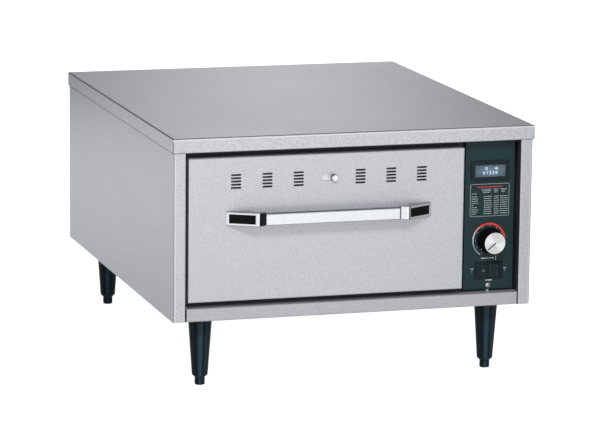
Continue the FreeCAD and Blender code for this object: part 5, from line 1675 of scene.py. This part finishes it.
@dataclass
class Studio:
    """The floor, the lamp, the cards for gloss, the surroundings and the camera, in metres and degrees."""

    azimuth: float = -16.976
    elevation: float = 11.055
    roll: float = 0.629
    distance: float = 4.8547
    target: tuple[float, float, float] = (-0.0832, -0.32435, 0.2394)
    lens: float = 204.5
    surround: float = 0.50
    floor_half: float = 40.0
    floor_white: float = 0.88
    lamp_size: tuple[float, float] = (1.0, 0.5)
    lamp_power: float = 38.0
    lamp_place: tuple[float, float, float] = (-0.5, -2.2, 1.9)
    lamp_aim: tuple[float, float, float] = (0.0, 0.0, 0.2)
    cards: tuple[Card, ...] = (
        Card("gloss_floor", (0.0, 0.0, 0.0005), (6.0, 0.0, 0.0), (0.0, 6.0, 0.0), 0.38, (
            Pool((0.0, -2.0, 0.0), (2.6, 2.5, 1.0), 1.25), Pool((-1.1, 1.7, 0.0), (1.7, 2.6, 1.0), 1.12),
            Pool((-1.2, -0.9, 0.0), (1.4, 1.4, 1.0), 1.25))),
        Card("gloss_flag", (0.55, -0.67, 0.16), (0.08, 0.16, 0.0), (0.0, 0.0, 0.16), 0.01),
        Card("gloss_ceiling", (0.0, 0.0, 2.4), (3.0, 0.0, 0.0), (0.0, 3.0, 0.0), 0.22),
        Card("gloss_rear", (0.5, 2.2, 1.2), (3.0, 0.0, 0.0), (0.0, 0.0, 1.2), 0.05, (
            Pool((0.64, 2.2, 0.8), (0.75, 1.0, 1.4), 1.05),)),
    )

    def build(self) -> None:
        """Set up everything round the object."""
        bpy.context.scene.view_settings.view_transform = "Standard"
        self.floor()
        self.world()
        self.lamps()
        for card in self.cards:
            self.stand(card)
        self.camera()

    def stand(self, card: Card) -> None:
        """Stand one card where gloss sees it and nothing else does.

        Its brightness at a place is the most that a pool gives there, which
        falls smoothly from the pool's level to the dull one at its reach.

        Args:
            card: the card.
        """
        middle, across, upward = (Vector(v) for v in (card.middle, card.across, card.upward))
        mesh = bpy.data.meshes.new(card.name)
        mesh.from_pydata([middle + across * a + upward * b for a, b in SQUARE], [], [(0, 1, 2, 3)])
        sheet = NodeSheet(card.name)
        level = None
        for pool in card.pools:
            scale = tuple(1 / reach for reach in pool.reach)
            around = sheet.stretched(scale, pool.middle)
            far = sheet.measured("LENGTH", around)
            spread = sheet.node("ShaderNodeMapRange", {
                "Value": far, "From Min": 0.0, "From Max": 1.0, "To Min": pool.level, "To Max": card.dull},
                interpolation_type="SMOOTHSTEP").outputs["Result"]
            level = spread if level is None else sheet.sums("MAXIMUM", level, spread)
        sheet.fix(Base_Color=(0, 0, 0, 1), Roughness=1.0, Specular_IOR_Level=0.0,
                  Emission_Color=(1, 1, 1, 1), Emission_Strength=card.dull)
        if level is not None:
            sheet.join(level, "Emission Strength")
        mesh.materials.append(sheet.material)
        thing = bpy.data.objects.new(card.name, mesh)
        thing.visible_camera = False
        thing.visible_diffuse = False
        thing.visible_shadow = False
        thing.visible_transmission = False
        bpy.context.scene.collection.objects.link(thing)

    def seen(self, tree: bpy.types.NodeTree) -> bpy.types.NodeSocket:
        """Return one for rays that the camera, gloss or glass sends, and nought for others.

        Args:
            tree: the node tree that asks.

        Returns:
            The larger of the three tests.
        """
        path = tree.nodes.new("ShaderNodeLightPath")
        total = path.outputs["Is Camera Ray"]
        for name in ("Is Glossy Ray", "Is Transmission Ray"):
            larger = tree.nodes.new("ShaderNodeMath")
            larger.operation = "MAXIMUM"
            tree.links.new(total, larger.inputs[0])
            tree.links.new(path.outputs[name], larger.inputs[1])
            total = larger.outputs[0]
        return total

    def world(self) -> None:
        """Surround the set with white as it is seen, and a plain level as it lights."""
        world = bpy.data.worlds.new("studio_surround")
        world.use_nodes = True
        tree = world.node_tree
        back = tree.nodes["Background"]
        back.inputs["Color"].default_value = (1, 1, 1, 1)
        level = tree.nodes.new("ShaderNodeMapRange")
        tree.links.new(self.seen(tree), level.inputs["Value"])
        level.inputs["To Min"].default_value = self.surround
        level.inputs["To Max"].default_value = 1.0
        tree.links.new(level.outputs["Result"], back.inputs["Strength"])
        bpy.context.scene.world = world

    def floor(self) -> None:
        """Lay a wide white floor that keeps a soft shadow."""
        mesh = bpy.data.meshes.new("studio_floor")
        half = self.floor_half
        mesh.from_pydata([(half * a, half * b, 0) for a, b in SQUARE], [], [(0, 1, 2, 3)])
        paint = bpy.data.materials.new("studio_floor_white")
        paint.use_nodes = True
        tree = paint.node_tree
        shader = tree.nodes["Principled BSDF"]
        shader.inputs["Base Color"].default_value = (0.8, 0.8, 0.8, 1)
        shader.inputs["Roughness"].default_value = 0.9
        shader.inputs["Specular IOR Level"].default_value = 0.0
        shader.inputs["Emission Color"].default_value = (1, 1, 1, 1)
        glow = tree.nodes.new("ShaderNodeMath")
        glow.operation = "MULTIPLY"
        glow.inputs[1].default_value = self.floor_white
        tree.links.new(self.seen(tree), glow.inputs[0])
        tree.links.new(glow.outputs[0], shader.inputs["Emission Strength"])
        mesh.materials.append(paint)
        floor = bpy.data.objects.new("studio_floor", mesh)
        bpy.context.scene.collection.objects.link(floor)

    def lamps(self) -> None:
        """Hang one broad soft lamp high in front of the set, a little to the left."""
        lamp = bpy.data.lights.new("soft_box", "AREA")
        lamp.shape = "RECTANGLE"
        lamp.size, lamp.size_y = self.lamp_size
        lamp.energy = self.lamp_power
        hung = bpy.data.objects.new("soft_box", lamp)
        hung.location = self.lamp_place
        aim = Vector(self.lamp_aim) - Vector(hung.location)
        hung.rotation_euler = aim.to_track_quat("-Z", "Y").to_euler()
        hung.visible_glossy = False
        bpy.context.scene.collection.objects.link(hung)

    def camera(self) -> None:
        """Stand the camera off its target by the azimuth, elevation and roll."""
        turn, lift, roll = (math.radians(a) for a in (self.azimuth, self.elevation, self.roll))
        back = Vector((math.sin(turn) * math.cos(lift), -math.cos(turn) * math.cos(lift), math.sin(lift)))
        right = (-back).cross(Vector((0, 0, 1))).normalized()
        up = right.cross(-back)
        rolled_right = math.cos(roll) * right + math.sin(roll) * up
        rolled_up = math.cos(roll) * up - math.sin(roll) * right
        data = bpy.data.cameras.new("studio_camera")
        data.sensor_width = 36.0
        data.lens = self.lens
        data.clip_end = 200.0
        camera = bpy.data.objects.new("studio_camera", data)
        stand = Matrix((rolled_right, rolled_up, back)).transposed().to_4x4()
        stand.translation = Vector(self.target) + back * self.distance
        camera.matrix_world = stand
        bpy.context.scene.collection.objects.link(camera)
        bpy.context.scene.camera = camera


def main() -> None:
    """Load the frame, and build each sub-assembly and the studio."""
    logging.basicConfig(level=logging.INFO, format="%(name)s: %(message)s")
    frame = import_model()
    for kind in (Cabinet, HotBox, Slides, Drawer, ControlColumn):
        LOG.info("sub-assembly %s", kind.__name__)
        kind(frame["nodes"]).build()
    Studio().build()


if __name__ == "__main__":
    main()
